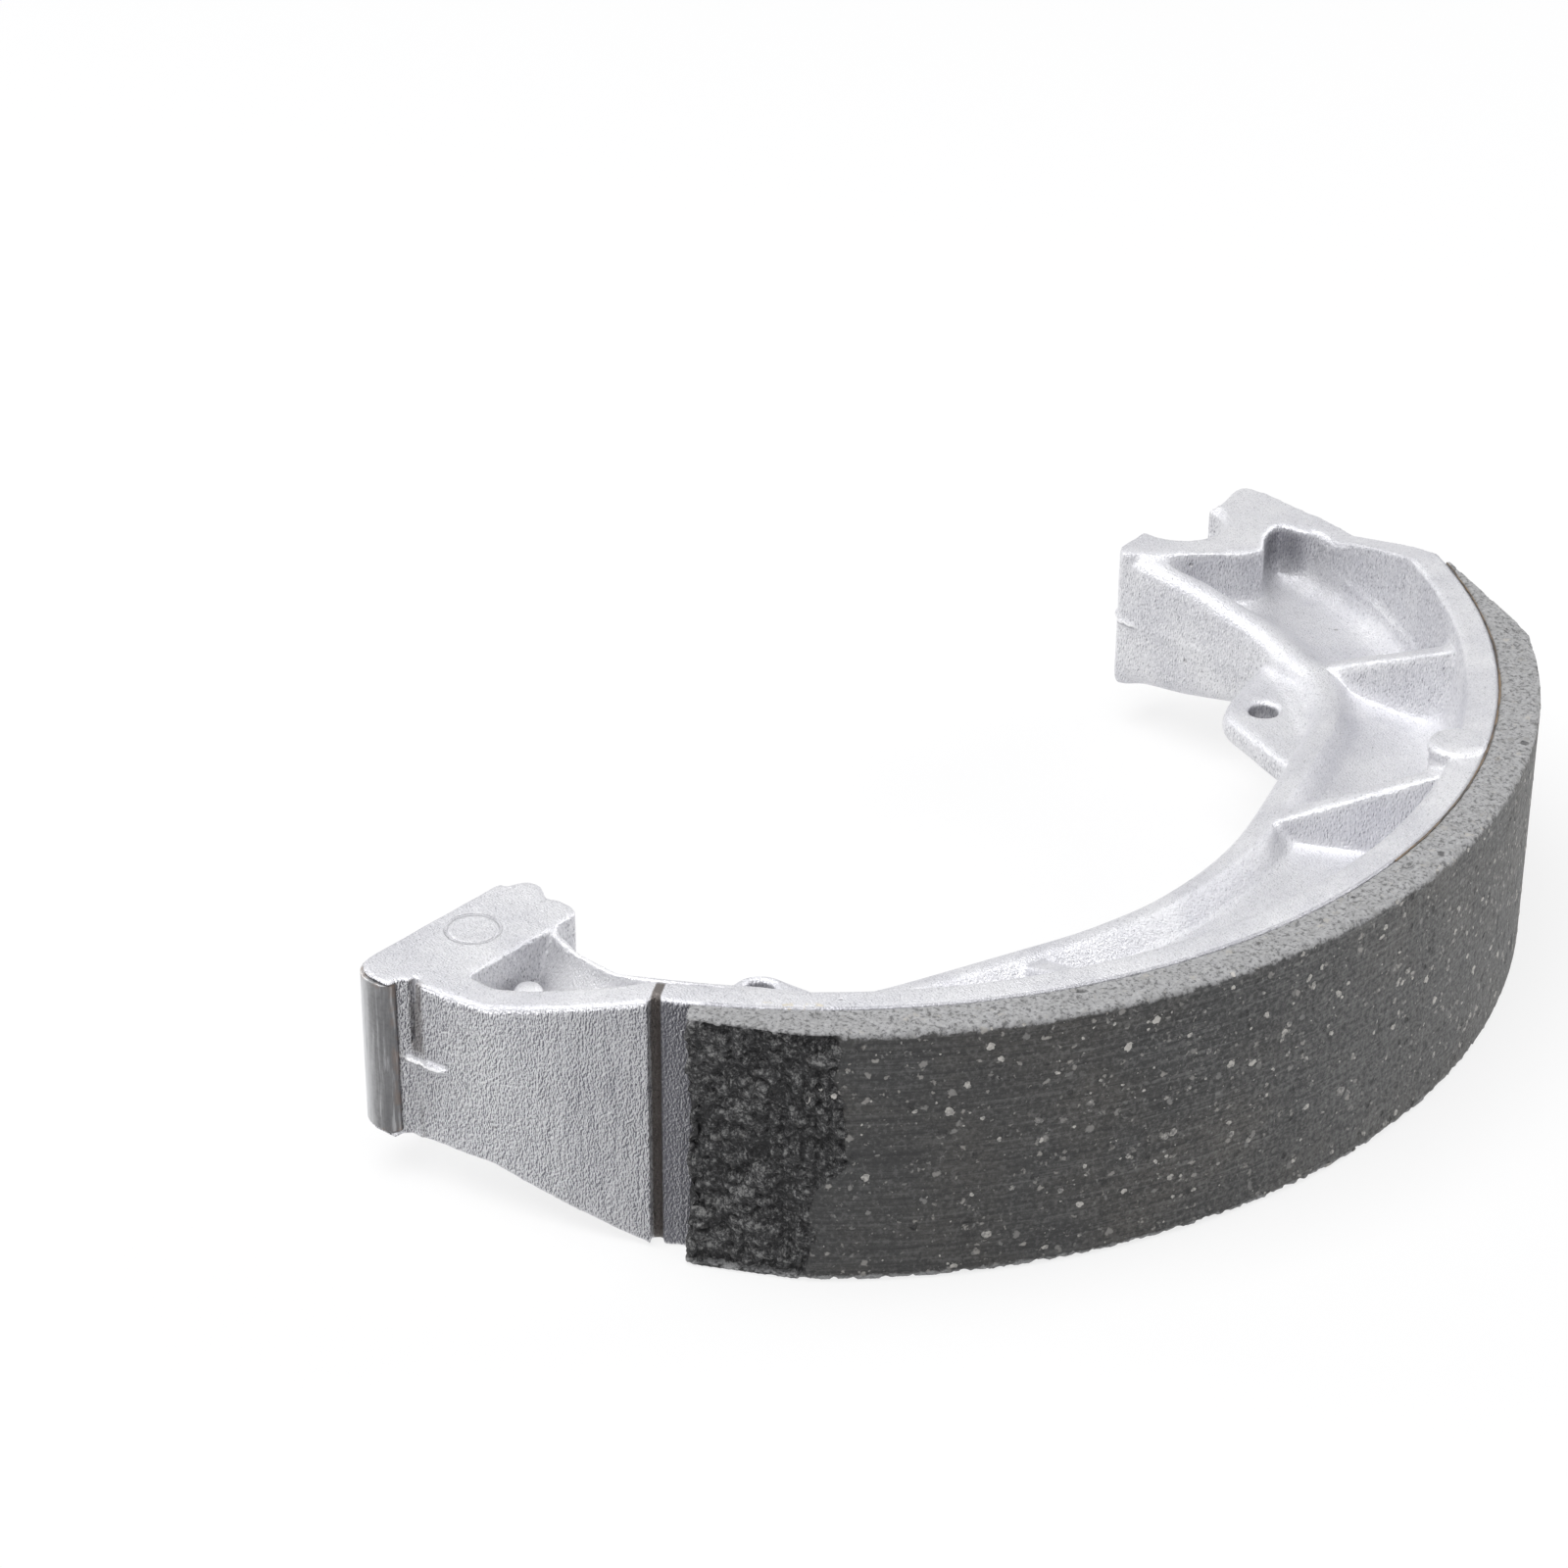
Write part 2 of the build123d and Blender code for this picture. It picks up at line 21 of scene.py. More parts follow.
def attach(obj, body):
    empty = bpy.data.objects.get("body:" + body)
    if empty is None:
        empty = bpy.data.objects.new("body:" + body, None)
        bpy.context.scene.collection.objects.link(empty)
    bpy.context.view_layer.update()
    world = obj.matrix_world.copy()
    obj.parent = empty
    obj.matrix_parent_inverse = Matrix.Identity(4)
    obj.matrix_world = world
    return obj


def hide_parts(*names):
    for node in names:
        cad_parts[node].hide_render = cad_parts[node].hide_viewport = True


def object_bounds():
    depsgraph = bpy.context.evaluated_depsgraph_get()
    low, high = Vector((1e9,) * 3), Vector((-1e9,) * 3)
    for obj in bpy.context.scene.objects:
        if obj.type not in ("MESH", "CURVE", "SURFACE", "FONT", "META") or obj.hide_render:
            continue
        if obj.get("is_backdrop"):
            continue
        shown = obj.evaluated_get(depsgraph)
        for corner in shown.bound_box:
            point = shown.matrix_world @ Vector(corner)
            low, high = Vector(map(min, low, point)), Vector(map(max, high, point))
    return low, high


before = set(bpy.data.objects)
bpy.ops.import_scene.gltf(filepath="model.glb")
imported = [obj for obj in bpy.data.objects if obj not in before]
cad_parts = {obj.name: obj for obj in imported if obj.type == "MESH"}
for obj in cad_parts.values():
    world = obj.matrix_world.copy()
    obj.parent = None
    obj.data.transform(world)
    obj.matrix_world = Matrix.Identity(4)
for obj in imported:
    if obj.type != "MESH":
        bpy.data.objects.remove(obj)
cad_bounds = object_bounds()
log = logging.getLogger("brake_shoe")
MM = 0.001
Pair = tuple[float, float]
Triple = tuple[float, float, float]
Number = Union["Value", float]
Shade = Union["Value", Triple]
Array = np.ndarray


class Slot(Enum):
    """The record's material slots."""

    CASTING = "cast_aluminium"
    LINING = "lining_compound"
    PLATE = "plate_steel"


# ---- node trees ----


class Value:
    """A node's output socket that takes part in Python arithmetic."""

    def __init__(self, tree: "Tree", node: bpy.types.Node, key: Union[int, str] = 0) -> None:
        """Wrap one output of a node, or none where the node only takes values."""
        self.tree = tree
        self.node = node
        self.socket = node.outputs[key] if node.outputs else None

    def out(self, key: Union[int, str]) -> "Value":
        """Return another output of the same node."""
        return Value(self.tree, self.node, key)

    def maths(self, operation: str, *others: Number) -> "Value":
        """Return the result of a Math node that takes this value first."""
        return self.tree.maths(operation, self, *others)

    def __add__(self, other: Number) -> "Value":
        """Return the sum."""
        return self.maths("ADD", other)

    def __sub__(self, other: Number) -> "Value":
        """Return the difference."""
        return self.maths("SUBTRACT", other)

    def __rsub__(self, other: float) -> "Value":
        """Return a number less this value."""
        return self.tree.maths("SUBTRACT", other, self)

    def __mul__(self, other: Number) -> "Value":
        """Return the product."""
        return self.maths("MULTIPLY", other)

    def __neg__(self) -> "Value":
        """Return the value with its sign turned."""
        return self * -1.0

    __radd__ = __add__
    __rmul__ = __mul__

    def high(self, other: Number) -> "Value":
        """Return the larger of the two."""
        return self.maths("MAXIMUM", other)

    def step(self, start: float, end: float, first: float = 0.0, last: float = 1.0) -> "Value":
        """Return a smooth step from first, before start, to last, past end."""
        sockets = {0: self, 1: start, 2: end, 3: first, 4: last}
        return self.tree.node("ShaderNodeMapRange", {"interpolation_type": "SMOOTHSTEP"}, sockets)

    def fall(self, start: float, end: float) -> "Value":
        """Return a smooth step from 1 at start down to 0 at end."""
        return self.step(start, end, 1.0, 0.0)

    def between(self, rise: Pair, fall: Pair) -> "Value":
        """Return 1 between a rising and a falling smooth step."""
        return self.step(*rise) * self.fall(*fall)

    def within(self, near: float, far: float) -> "Value":
        """Return 1 nearer to zero than near and 0 further off than far."""
        return self.maths("ABSOLUTE").fall(near, far)


class Tree:
    """A node tree of any kind."""

    def __init__(self, tree: bpy.types.NodeTree) -> None:
        """Take over a tree and empty it."""
        self.tree = tree
        tree.nodes.clear()

    def node(self, kind: str, settings: Optional[dict] = None, sockets: Optional[dict] = None) -> Value:
        """Make any node.

        Args:
            kind: the node's type.
            settings: the node's own properties, which are set first.
            sockets: the values or links of its inputs, by index or name.

        Returns:
            The finished node's first output.
        """
        made = self.tree.nodes.new(kind)
        for key, setting in (settings or {}).items():
            setattr(made, key, setting)
        for key, given in (sockets or {}).items():
            socket = made.inputs[key]
            if isinstance(given, Value):
                self.tree.links.new(given.socket, socket)
            else:
                socket.default_value = (*given, 1.0) if socket.type == "RGBA" else given
        return Value(self, made)

    def maths(self, operation: str, *operands: Number) -> Value:
        """Return the result of a Math node."""
        return self.node("ShaderNodeMath", {"operation": operation}, dict(enumerate(operands)))

    def vector(self, operation: str, *operands: Shade) -> Value:
        """Return the result of a Vector Math node."""
        return self.node("ShaderNodeVectorMath", {"operation": operation}, dict(enumerate(operands)))

    def joined(self, x: Number = 0.0, y: Number = 0.0, z: Number = 0.0) -> Value:
        """Return three values as one vector."""
        return self.node("ShaderNodeCombineXYZ", {}, {0: x, 1: y, 2: z})

    def seen(self) -> Value:
        """Return 1 where the camera looks, straight on or by a mirror or glass, and 0 for other light."""
        path = self.node("ShaderNodeLightPath").out
        return path("Is Camera Ray").high(path("Is Glossy Ray")).high(path("Is Transmission Ray"))


class Graph(Tree):
    """The node tree of one material."""

    def __init__(self, name: str) -> None:
        """Start an empty material.

        Args:
            name: the material's name.
        """
        self.material = bpy.data.materials.new(name)
        self.material.use_nodes = True
        super().__init__(self.material.node_tree)
        self.place = self.node("ShaderNodeTexCoord").out("Object")
        split = self.node("ShaderNodeSeparateXYZ", {}, {0: self.place})
        self.x, self.y, self.z = (split.out(axis) for axis in range(3))

    def read(self, name: str) -> Value:
        """Return an attribute of the mesh."""
        return self.node("ShaderNodeAttribute", {"attribute_name": name}).out("Fac")

    def away(self, centre: Pair = (0.0, 0.0)) -> Value:
        """Return the distance from an upright axis, which is the drum's unless a centre is given."""
        across, along = self.x - centre[0], self.y - centre[1]
        return (across * across + along * along).maths("SQRT")

    def noise(self, place: Value, scale: float, detail: float = 2.0, rough: float = 0.5) -> Value:
        """Return a noise about 0.5 whose waves are 1 / scale metres long."""
        sockets = {"Vector": place, "Scale": scale, "Detail": detail, "Roughness": rough}
        return self.node("ShaderNodeTexNoise", {}, sockets)

    def emboss(self, place: Value, shift: Triple, *noise: float) -> tuple[Value, Value]:
        """Return a noise as if it were lit from one side.

        Args:
            place: the coordinates.
            shift: the step over which the noise's rise is taken.
            noise: its scale, detail and roughness.

        Returns:
            The rise, about 0, and the noise.
        """
        grain = self.noise(place, *noise)
        return grain - self.noise(self.vector("ADD", place, shift), *noise), grain

    def stretched(self, place: Value, factors: Triple) -> Value:
        """Return coordinates multiplied along each axis."""
        return self.node("ShaderNodeMapping", {}, {"Vector": place, "Scale": factors})

    def cells(self, place: Value, scale: float) -> tuple[Value, Value, Value]:
        """Return Voronoi cells: the distance to each centre and two random numbers of it."""
        node = self.node("ShaderNodeTexVoronoi", {}, {"Vector": place, "Scale": scale})
        parts = self.node("ShaderNodeSeparateColor", {}, {0: node.out("Color")})
        return node.out("Distance"), parts.out(0), parts.out(1)

    def dots(self, place: Value, scale: float, near: float, far: float, share: float) -> tuple[Value, Value]:
        """Return scattered dots.

        Args:
            place: the coordinates.
            scale: cells for each metre.
            near: how far from its cell's centre a dot is full, in cells.
            far: how far from it the dot ends.
            share: the share of cells that stay empty.

        Returns:
            1 in the dots and 0 elsewhere, and a random number of each dot.
        """
        distance, chance, tint = self.cells(place, scale)
        return distance.fall(near, far) * chance.step(share, share + 0.01), tint

    def blend(self, factor: Number, first: Shade, second: Shade) -> Value:
        """Return a colour between two, by a factor."""
        return self.node("ShaderNodeMix", {"data_type": "RGBA"}, {0: factor, 6: first, 7: second}).out(2)

    def coats(self, colour: Shade, *coats: tuple[Number, Shade]) -> Shade:
        """Lay colours over one another.

        Args:
            colour: the ground colour.
            coats: for each coat, how much it covers and its colour, in order.

        Returns:
            The colour that shows.
        """
        for cover, coat in coats:
            colour = self.blend(cover, colour, coat)
        return colour

    def surface(self, colour: Shade, roughness: Number, metallic: float, height: Value,
                distance: float, strength: float, specular: float = 0.5) -> bpy.types.Material:
        """Close the tree with one Principled shader.

        Args:
            colour, roughness, metallic, specular: what the shader takes.
            height: the height that bends the normal.
            distance: the metres that a height of 1 stands for.
            strength: the bump's strength.

        Returns:
            The finished material.
        """
        sockets = {"Height": height, "Distance": distance, "Strength": strength}
        normal = self.node("ShaderNodeBump", {}, sockets)
        sockets = {"Base Color": colour, "Roughness": roughness, "Metallic": metallic, "Normal": normal,
                   "Specular IOR Level": specular}
        shader = self.node("ShaderNodeBsdfPrincipled", {}, sockets)
        self.node("ShaderNodeOutputMaterial", {}, {0: shader})
        return self.material


# ---- finishes ----


@dataclass(frozen=True)
class BlastedCasting:
    """Shot-blasted die-cast aluminium: pale, with a fine relief grain, soft tone changes and light and shade
    painted into its colour.

    A pair that is named for a place says where a region fades in or out: along X,
    Y or Z, away from the drum's axis (reach), or round it from the register groove (turn).
    """

    colour: Triple = (0.61, 0.61, 0.645)
    pale: Triple = (0.74, 0.74, 0.76)
    bright: Triple = (0.95, 0.95, 0.96)
    resin: Triple = (0.66, 0.56, 0.34)
    dark: Triple = (0.15, 0.15, 0.175)
    shade_and_stain: Triple = (0.11, 0.095, 0.085)
    metallic: float = 0.62
    roughness: float = 0.42
    grain: Triple = (5400.0, 2.0, 0.55)
    coarse_scale: float = 1300.0
    light_shift: Triple = (-0.00009, -0.00004, 0.00002)
    recess: Pair = (0.0172, 0.0668)
    bores: tuple[Pair, ...] = ((0.0340, 0.0394), (0.0293, -0.0430))
    bore_reach: Pair = (0.00168, 0.00185)
    mark: Pair = (0.0081, -0.0628)
    mark_radius: float = 0.0028
    mark_line: Pair = (0.000096, 0.000256)
    register_angle: float = radians(-61.4)
    wall_reach: Pair = (0.0738, 0.0744)
    wall_turn: Pair = (0.10, 0.11)
    wall_x: Pair = (0.044, 0.046)
    groove_reach: Pair = (0.0720, 0.0730)
    groove_turn: Pair = (0.005, 0.008)
    bond_reach: Pair = (0.07500, 0.07525)
    bond_turn: Pair = (0.060, 0.066)
    bond_z: Pair = (0.0285, 0.0287)
    pocket_x: Pair = (0.0140, 0.0180)
    pocket_y: Pair = (-0.0600, -0.0575)
    pocket_z: Pair = (0.0152, 0.0178)
    pocket_reach: Pair = (0.0690, 0.0710)
    parting_z: float = 0.0146
    parting_y: Pair = (-0.0738, -0.0735)
    slit_y: Pair = (-0.0735, -0.0730)

    def build(self) -> bpy.types.Material:
        """Build the finish, which reads the casting's attribute "upright".

        Returns:
            The material.
        """
        g = Graph("blasted_casting")
        emboss, grain = g.emboss(g.stretched(g.place, (1.0, 1.0, 0.5)), self.light_shift, *self.grain)
        coarse = g.noise(g.place, self.coarse_scale)
        ragged = coarse - 0.5
        cloud = g.noise(g.place, 120.0, 3.0, 0.6)
        reach, turn = g.away(), g.y.maths("ARCTAN2", g.x) - self.register_angle
        upright = g.read("upright")
        outer = reach.step(*self.wall_reach) * upright
        wall = outer * turn.fall(*self.wall_turn) * g.x.fall(*self.wall_x)
        # lit paints light and shade into the colour: the grain's emboss, lit from one side, plus streaks on
        # the wall and random spots, with upright faces a little lighter.
        streak = (g.noise(g.stretched(g.place, (1.0, 1.0, 0.10)), 2400.0) - 0.5) * wall
        spots = (g.noise(g.place, 2300.0, 2.0, 0.6) - 0.5 + upright * 0.06) * (1.0 - wall * 0.5)
        lit = emboss * (wall * 4.8 + upright * 1.3 + 1.2) + spots * 1.2
        lit = lit + streak * (turn.step(-0.26, -0.02) * 1.8 + 0.4)
        bed = outer * turn.between((-0.002, 0.003), self.wall_turn)
        ring = (g.away(self.mark) - self.mark_radius).within(*self.mark_line) * g.z.step(0.0225, 0.0230)
        pit, _ = g.dots(g.place, 300.0, 0.04, 0.10, 0.86)
        bond = turn.step(*self.bond_turn) * reach.step(*self.bond_reach) * g.z.step(*self.bond_z)
        colour = g.coats(
            self.colour,
            (cloud.step(0.25, 0.75), self.pale),
            (lit.step(0.0, 0.9) * 0.75, self.bright),
            ((-lit).step(0.0, 0.9) * 0.95, self.dark),
            # Painted shade: the cam end's outer wall a little darker, most towards the register groove.
            (wall * (turn.step(-0.26, 0.0) * 0.20 + 0.05), self.dark),
            # Painted light on the sides of the cam end's pocket.
            (self.sheltered(g, reach) * 0.85, self.bright),
            # The bare bed strip between the groove and the lining darkened, most beside the groove, with the
            # grain's painted light and shade from emboss.
            (bed * (turn.fall(0.004, 0.028) * 0.18 + 0.74 - emboss * 2.2), self.dark),
            # Painted shade, with some glue, darkens the register groove.
            (turn.within(*self.groove_turn) * reach.step(*self.groove_reach) * 0.94, self.shade_and_stain),
            (self.slit(g, ragged) * 0.65, self.shade_and_stain),
            # Painted shade in the corner behind the fork and in the spring holes, broken by the grain's
            # painted light and shade.
            (self.corner_shade(g, ragged) - emboss * 0.5, self.dark),
            *self.parting_line(g, ragged),
            (ring * 0.14, self.dark),
            (self.glue(g, reach, turn, coarse), self.resin),
            # Partly a dark bond line, partly painted shade over the highlight of the rim's rounded edge.
            (bond * 0.45, self.dark),
            (pit * 0.35, self.shade_and_stain),
        )
        height = grain * (wall * 1.3 + 0.55) + coarse * 0.20 - pit * 0.6 - ring
        rough = (grain - 0.5) * 0.3 + self.roughness
        return g.surface(colour, rough, self.metallic, height, 0.00024, 1.0)

    def sheltered(self, g: Graph, reach: Value) -> Value:
        """Return 1 on the sides of the cam end's pocket, which the pale web lights up."""
        plan = g.x.step(*self.pocket_x) * g.y.fall(*self.pocket_y) * reach.fall(*self.pocket_reach)
        return plan * g.z.step(*self.pocket_z)

    def parting_line(self, g: Graph, ragged: Value) -> list[tuple[Value, Triple]]:
        """Draw the die's parting line on the cam end's wall and the fork's face.

        Args:
            g: the material's tree.
            ragged: a noise about 0.

        Returns:
            The line's shadow and its lit crest, as coats.
        """
        level = g.z + ragged * 0.0006 - self.parting_z
        near = (g.x + ragged * 0.004).fall(0.0135, 0.0150) * g.y.fall(*self.parting_y)
        near = near.high(g.x.fall(0.0085, 0.0100) * g.y.between((0.0470, 0.0475), (0.0490, 0.0495)))
        shadow = near * (level + 0.00035).within(0.0001, 0.0003) * 0.4
        return [(shadow, self.dark), (near * level.within(0.00005, 0.0002) * 0.8, self.bright)]

    def slit(self, g: Graph, ragged: Value) -> Value:
        """Find the shadowed wedge beside the wear plate.

        Args:
            g: the material's tree.
            ragged: a noise about 0.

        Returns:
            1 in the wedge and 0 elsewhere.
        """
        shake = ragged * 0.0008
        x, y, z = g.x + shake, g.y + shake, g.z + shake
        upper = x.between((0.0097, 0.0101), (0.0112, 0.0120)) * y.step(-0.0757, -0.0752)
        upper = upper * z.step(0.0149, 0.0160) * g.z.fall(0.0236, 0.0240)
        lower = (x - 0.0111).within(0.0001, 0.0005) * z.fall(0.0085, 0.0110)
        return upper.high(lower * 0.35) * g.y.fall(*self.slit_y)

    def glue(self, g: Graph, reach: Value, turn: Value, coarse: Value) -> Value:
        """Return where a little resin was smeared over the rim's edge beside the bond."""
        patch = (turn - 0.18).within(0.02, 0.10) * (coarse + g.noise(g.place, 500.0) * 0.6)
        return reach.step(0.0742, 0.0749) * g.z.step(0.0285, 0.0288) * patch.step(0.78, 0.90) * 0.5

    def corner_shade(self, g: Graph, ragged: Value) -> Value:
        """Paint shade into the deep corner behind the fork and into the spring holes.

        Args:
            g: the material's tree.
            ragged: a noise about 0.

        Returns:
            How dark each place is.
        """
        away = g.away(self.recess) + ragged * 0.002
        dark = away.fall(0.0010, 0.0056) * 0.50 + away.fall(0.003, 0.013) * 0.16
        dark = dark * g.x.step(0.0062, 0.0080) * g.z.fall(0.0222, 0.0233)
        dark = dark * (g.z + ragged * 0.004).step(0.0155, 0.0205)
        for centre in self.bores:
            dark = dark.high(g.away(centre).fall(*self.bore_reach) * 0.55)
        return dark


@dataclass(frozen=True)
class FrictionCompound:
    """Ground friction compound: charcoal with turned lines, pits and light mineral specks."""

    ground: Triple = (0.058, 0.059, 0.059)
    warm: Triple = (0.090, 0.085, 0.077)
    side: Triple = (0.36, 0.36, 0.365)
    rough: Triple = (0.030, 0.030, 0.031)
    torn: Triple = (0.072, 0.072, 0.073)
    speck: Triple = (0.44, 0.42, 0.39)
    dust_and_painted_light: Triple = (0.22, 0.22, 0.215)
    chalk_and_painted_light: Triple = (0.50, 0.50, 0.50)
    deep: Triple = (0.014, 0.014, 0.015)
    light_shift: Triple = (0.00016, -0.00004, 0.00022)
    radius: float = 0.080
    width: float = 0.029
    edge: Pair = (0.0003, 0.0007)
    specks: tuple[tuple[float, ...], ...] = (
        (800.0, 0.83, 0.36, 0.75), (1700.0, 0.90, 0.40, 0.6),
        (420.0, 0.88, 0.20, 0.8), (2600.0, 0.94, 0.42, 0.5),
    )

    def build(self) -> bpy.types.Material:
        """Build the finish, which reads the lining's attributes "torn" and "lump".

        Returns:
            The material.
        """
        g = Graph("friction_compound")
        arc = g.y.maths("ARCTAN2", g.x) * self.radius
        sheet = g.joined(arc, g.z, g.away())
        level = g.z + (g.noise(g.place, 1500.0, 3.0, 0.65) - 0.5) * 0.0011
        level = level + (g.noise(g.place, 500.0) - 0.5) * 0.0008
        side = (self.width - level).fall(*self.edge).high(level.fall(*self.edge))
        lines = g.noise(g.stretched(sheet, (0.03, 1.0, 1.0)), 2500.0, 3.0, 0.65)
        broad = g.noise(g.stretched(sheet, (0.02, 1.0, 1.0)), 500.0)
        cloud = g.noise(g.place, 70.0, 3.0, 0.6)
        grit = g.noise(g.place, 2100.0, 2.0, 0.7)
        mottled = g.noise(g.place, 800.0, 4.0, 0.65)
        frayed = (g.noise(g.place, 1100.0, 3.0, 0.65) - 0.5) * 1.6
        torn = (g.read("torn") + frayed).step(0.35, 0.60)
        emboss, _ = g.emboss(g.place, self.light_shift, 1000.0, 4.0, 0.7)
        crumb, odds, _ = g.cells(g.place, 2100.0)
        ground_face = g.coats(
            self.ground,
            (cloud.step(0.35, 0.70), self.warm),
            (lines.step(0.50, 0.68) * 0.42, self.dust_and_painted_light),
            (lines.fall(0.32, 0.50) * 0.85, self.rough),
            (grit.fall(0.34, 0.50) * 0.75, self.rough),
            (grit.step(0.52, 0.66) * 0.42, self.dust_and_painted_light),
            # Painted shade darkens the ground face towards the cam end, and painted light, broken by grit,
            # lifts it towards the anchor end.
            (arc.fall(-0.062, -0.026) * 0.40, self.rough),
            (arc.step(-0.036, -0.006) * (grit.step(0.36, 0.60) * 0.26 + 0.10), self.dust_and_painted_light),
        )
        side_face = g.coats(
            self.side,
            (mottled.step(0.30, 0.70) * 0.5, self.dust_and_painted_light),
            # Painted light and shade of the side's grain, lit from one side.
            ((emboss * 3.0).step(0.10, 0.9) * 0.5, self.chalk_and_painted_light),
            ((emboss * -3.0).step(0.10, 0.8) * 0.7, self.ground),
            (grit.fall(0.34, 0.50) * 0.7, self.ground),
            (grit.step(0.54, 0.68) * 0.4, self.chalk_and_painted_light),
            (mottled.fall(0.26, 0.38) * 0.6, self.rough),
        )
        colour = g.coats(ground_face, (torn, self.ripped(g, emboss, crumb, odds)), (side, side_face))
        shift = g.node("ShaderNodeTexNoise", {}, {"Vector": g.place, "Scale": 1500.0, "Detail": 2.0})
        warped = g.vector("MULTIPLY_ADD", shift.out("Color"), (0.0011,) * 3, g.place)
        for scale, share, reach, amount in self.specks:
            speck, tint = g.dots(warped, scale, reach * 0.6, reach, share)
            light = g.blend(tint, self.speck, self.dust_and_painted_light)
            colour = g.blend(speck * amount * (1.0 - torn * 0.85), colour, light)
        pit, _ = g.dots(warped, 520.0, 0.10, 0.30, 0.80)
        colour = g.blend(pit * 0.7, colour, self.rough)
        height = grit * 0.5 + mottled * 0.9 * side.high(torn) - crumb * torn * 1.6 - pit * 2.0
        height = height + (lines * 1.2 + broad) * (1.0 - side) * (1.0 - torn)
        return g.surface(colour, 0.66, 0.0, height, 0.00016, 0.9, 0.45)

    def ripped(self, g: Graph, emboss: Value, crumb: Value, odds: Value) -> Value:
        """Colour the torn patch by how its crumbs stand up to the light.

        Args:
            g: the material's tree.
            emboss: the broad lumps, lit from one side.
            crumb: the distance from the middle of a crumb.
            odds: a random number of each crumb.

        Returns:
            The patch's colour.
        """
        nudge = tuple(0.6 * part for part in self.light_shift)
        fine, _ = g.emboss(g.place, nudge, 2300.0, 3.0, 0.75)
        height = g.read("lump") * 0.75 + 0.12 + (0.42 - crumb) * 0.7 + (odds - 0.5) * 0.30
        height = height + emboss * 1.6 + fine * 3.2
        hollow, _ = g.dots(g.place, 360.0, 0.10, 0.28, 0.70)
        return g.coats(
            self.deep,
            (height.step(0.10, 0.74), self.torn),
            (height.step(0.66, 1.12) * 0.95, self.dust_and_painted_light),
            (hollow * 0.9, self.deep),
        )


@dataclass(frozen=True)
class DullSteel:
    """Bare strip steel, dull and drawn lengthwise, with a little rust at its edges."""

    colour: Triple = (0.34, 0.34, 0.345)
    dark: Triple = (0.20, 0.20, 0.205)
    dull: Triple = (0.12, 0.12, 0.125)
    pale_steel: Triple = (0.72, 0.725, 0.74)
    rust: Triple = (0.25, 0.16, 0.11)
    roughness: float = 0.42
    metallic: float = 0.85
    side_x: Pair = (0.0060, 0.0088)
    face_x: Pair = (0.0046, 0.0072)
    face_y: Pair = (-0.0700, -0.0660)
    top_z: Pair = (0.0226, 0.0233)
    foot_z: Pair = (0.0057, 0.0064)
    bend_x: Pair = (0.0086, 0.0089)

    def build(self) -> bpy.types.Material:
        """Build the finish.

        Returns:
            The material.
        """
        g = Graph("dull_steel")
        mottled = g.noise(g.place, 2600.0, 3.0, 0.6)
        cloud = g.noise(g.place, 260.0, 3.0, 0.6)
        streak = g.noise(g.stretched(g.place, (1.0, 1.0, 0.07)), 2600.0, 3.0, 0.6)
        bright = (g.x + (streak - 0.5) * 0.0016).fall(*self.face_x) * g.y.fall(*self.face_y)
        near_edge = g.z.step(*self.top_z).high(g.z.fall(*self.foot_z)).high(g.x.step(*self.bend_x) * 0.6)
        colour = g.coats(
            self.dark,
            (mottled.step(0.30, 0.62) * 0.6 + cloud.step(0.35, 0.65) * 0.4, self.colour),
            ((g.x + (cloud - 0.5) * 0.001).step(*self.side_x) * 0.65, self.dull),
            # The plate's end at low X, towards the cam end, made much lighter in ragged streaks.
            (bright * 0.95, self.pale_steel),
            (streak.fall(0.36, 0.56) * 0.45, self.dull),
            (streak.step(0.54, 0.70) * 0.30, self.pale_steel),
            (near_edge * g.noise(g.place, 700.0, 3.0).step(0.42, 0.62) * 0.5, self.rust),
        )
        rough = (mottled - 0.5) * 0.3 + self.roughness
        return g.surface(colour, rough, self.metallic, mottled * 0.7 + streak * 0.6, 0.00006, 0.7)


@dataclass(frozen=True)
class Adhesive:
    """Baked bonding adhesive that was squeezed out in a thin brown line."""

    colour: Triple = (0.20, 0.135, 0.075)
    dark: Triple = (0.055, 0.042, 0.032)

    def build(self) -> bpy.types.Material:
        """Build the finish.

        Returns:
            The material.
        """
        g = Graph("bond_adhesive")
        cloud = g.noise(g.place, 400.0, 3.0)
        colour = g.blend(cloud.step(0.35, 0.65), self.dark, self.colour)
        return g.surface(colour, 0.4, 0.0, cloud, 0.00005, 0.5)


@dataclass(frozen=True)
class MineralGrain:
    """Mineral grains in the compound, from grey to warm white."""

    pale: Triple = (0.56, 0.54, 0.505)
    grey: Triple = (0.15, 0.148, 0.145)

    def build(self) -> bpy.types.Material:
        """Build the finish, which reads the grains' attribute "tint".

        Returns:
            The material.
        """
        g = Graph("mineral_grain")
        mottled = g.noise(g.place, 3000.0)
        light = (g.read("tint") * 0.7 + mottled.step(0.3, 0.7) * 0.6 - 0.1).step(0.0, 1.0)
        return g.surface(g.blend(light, self.grey, self.pale), 0.6, 0.0, mottled, 0.00004, 0.5)


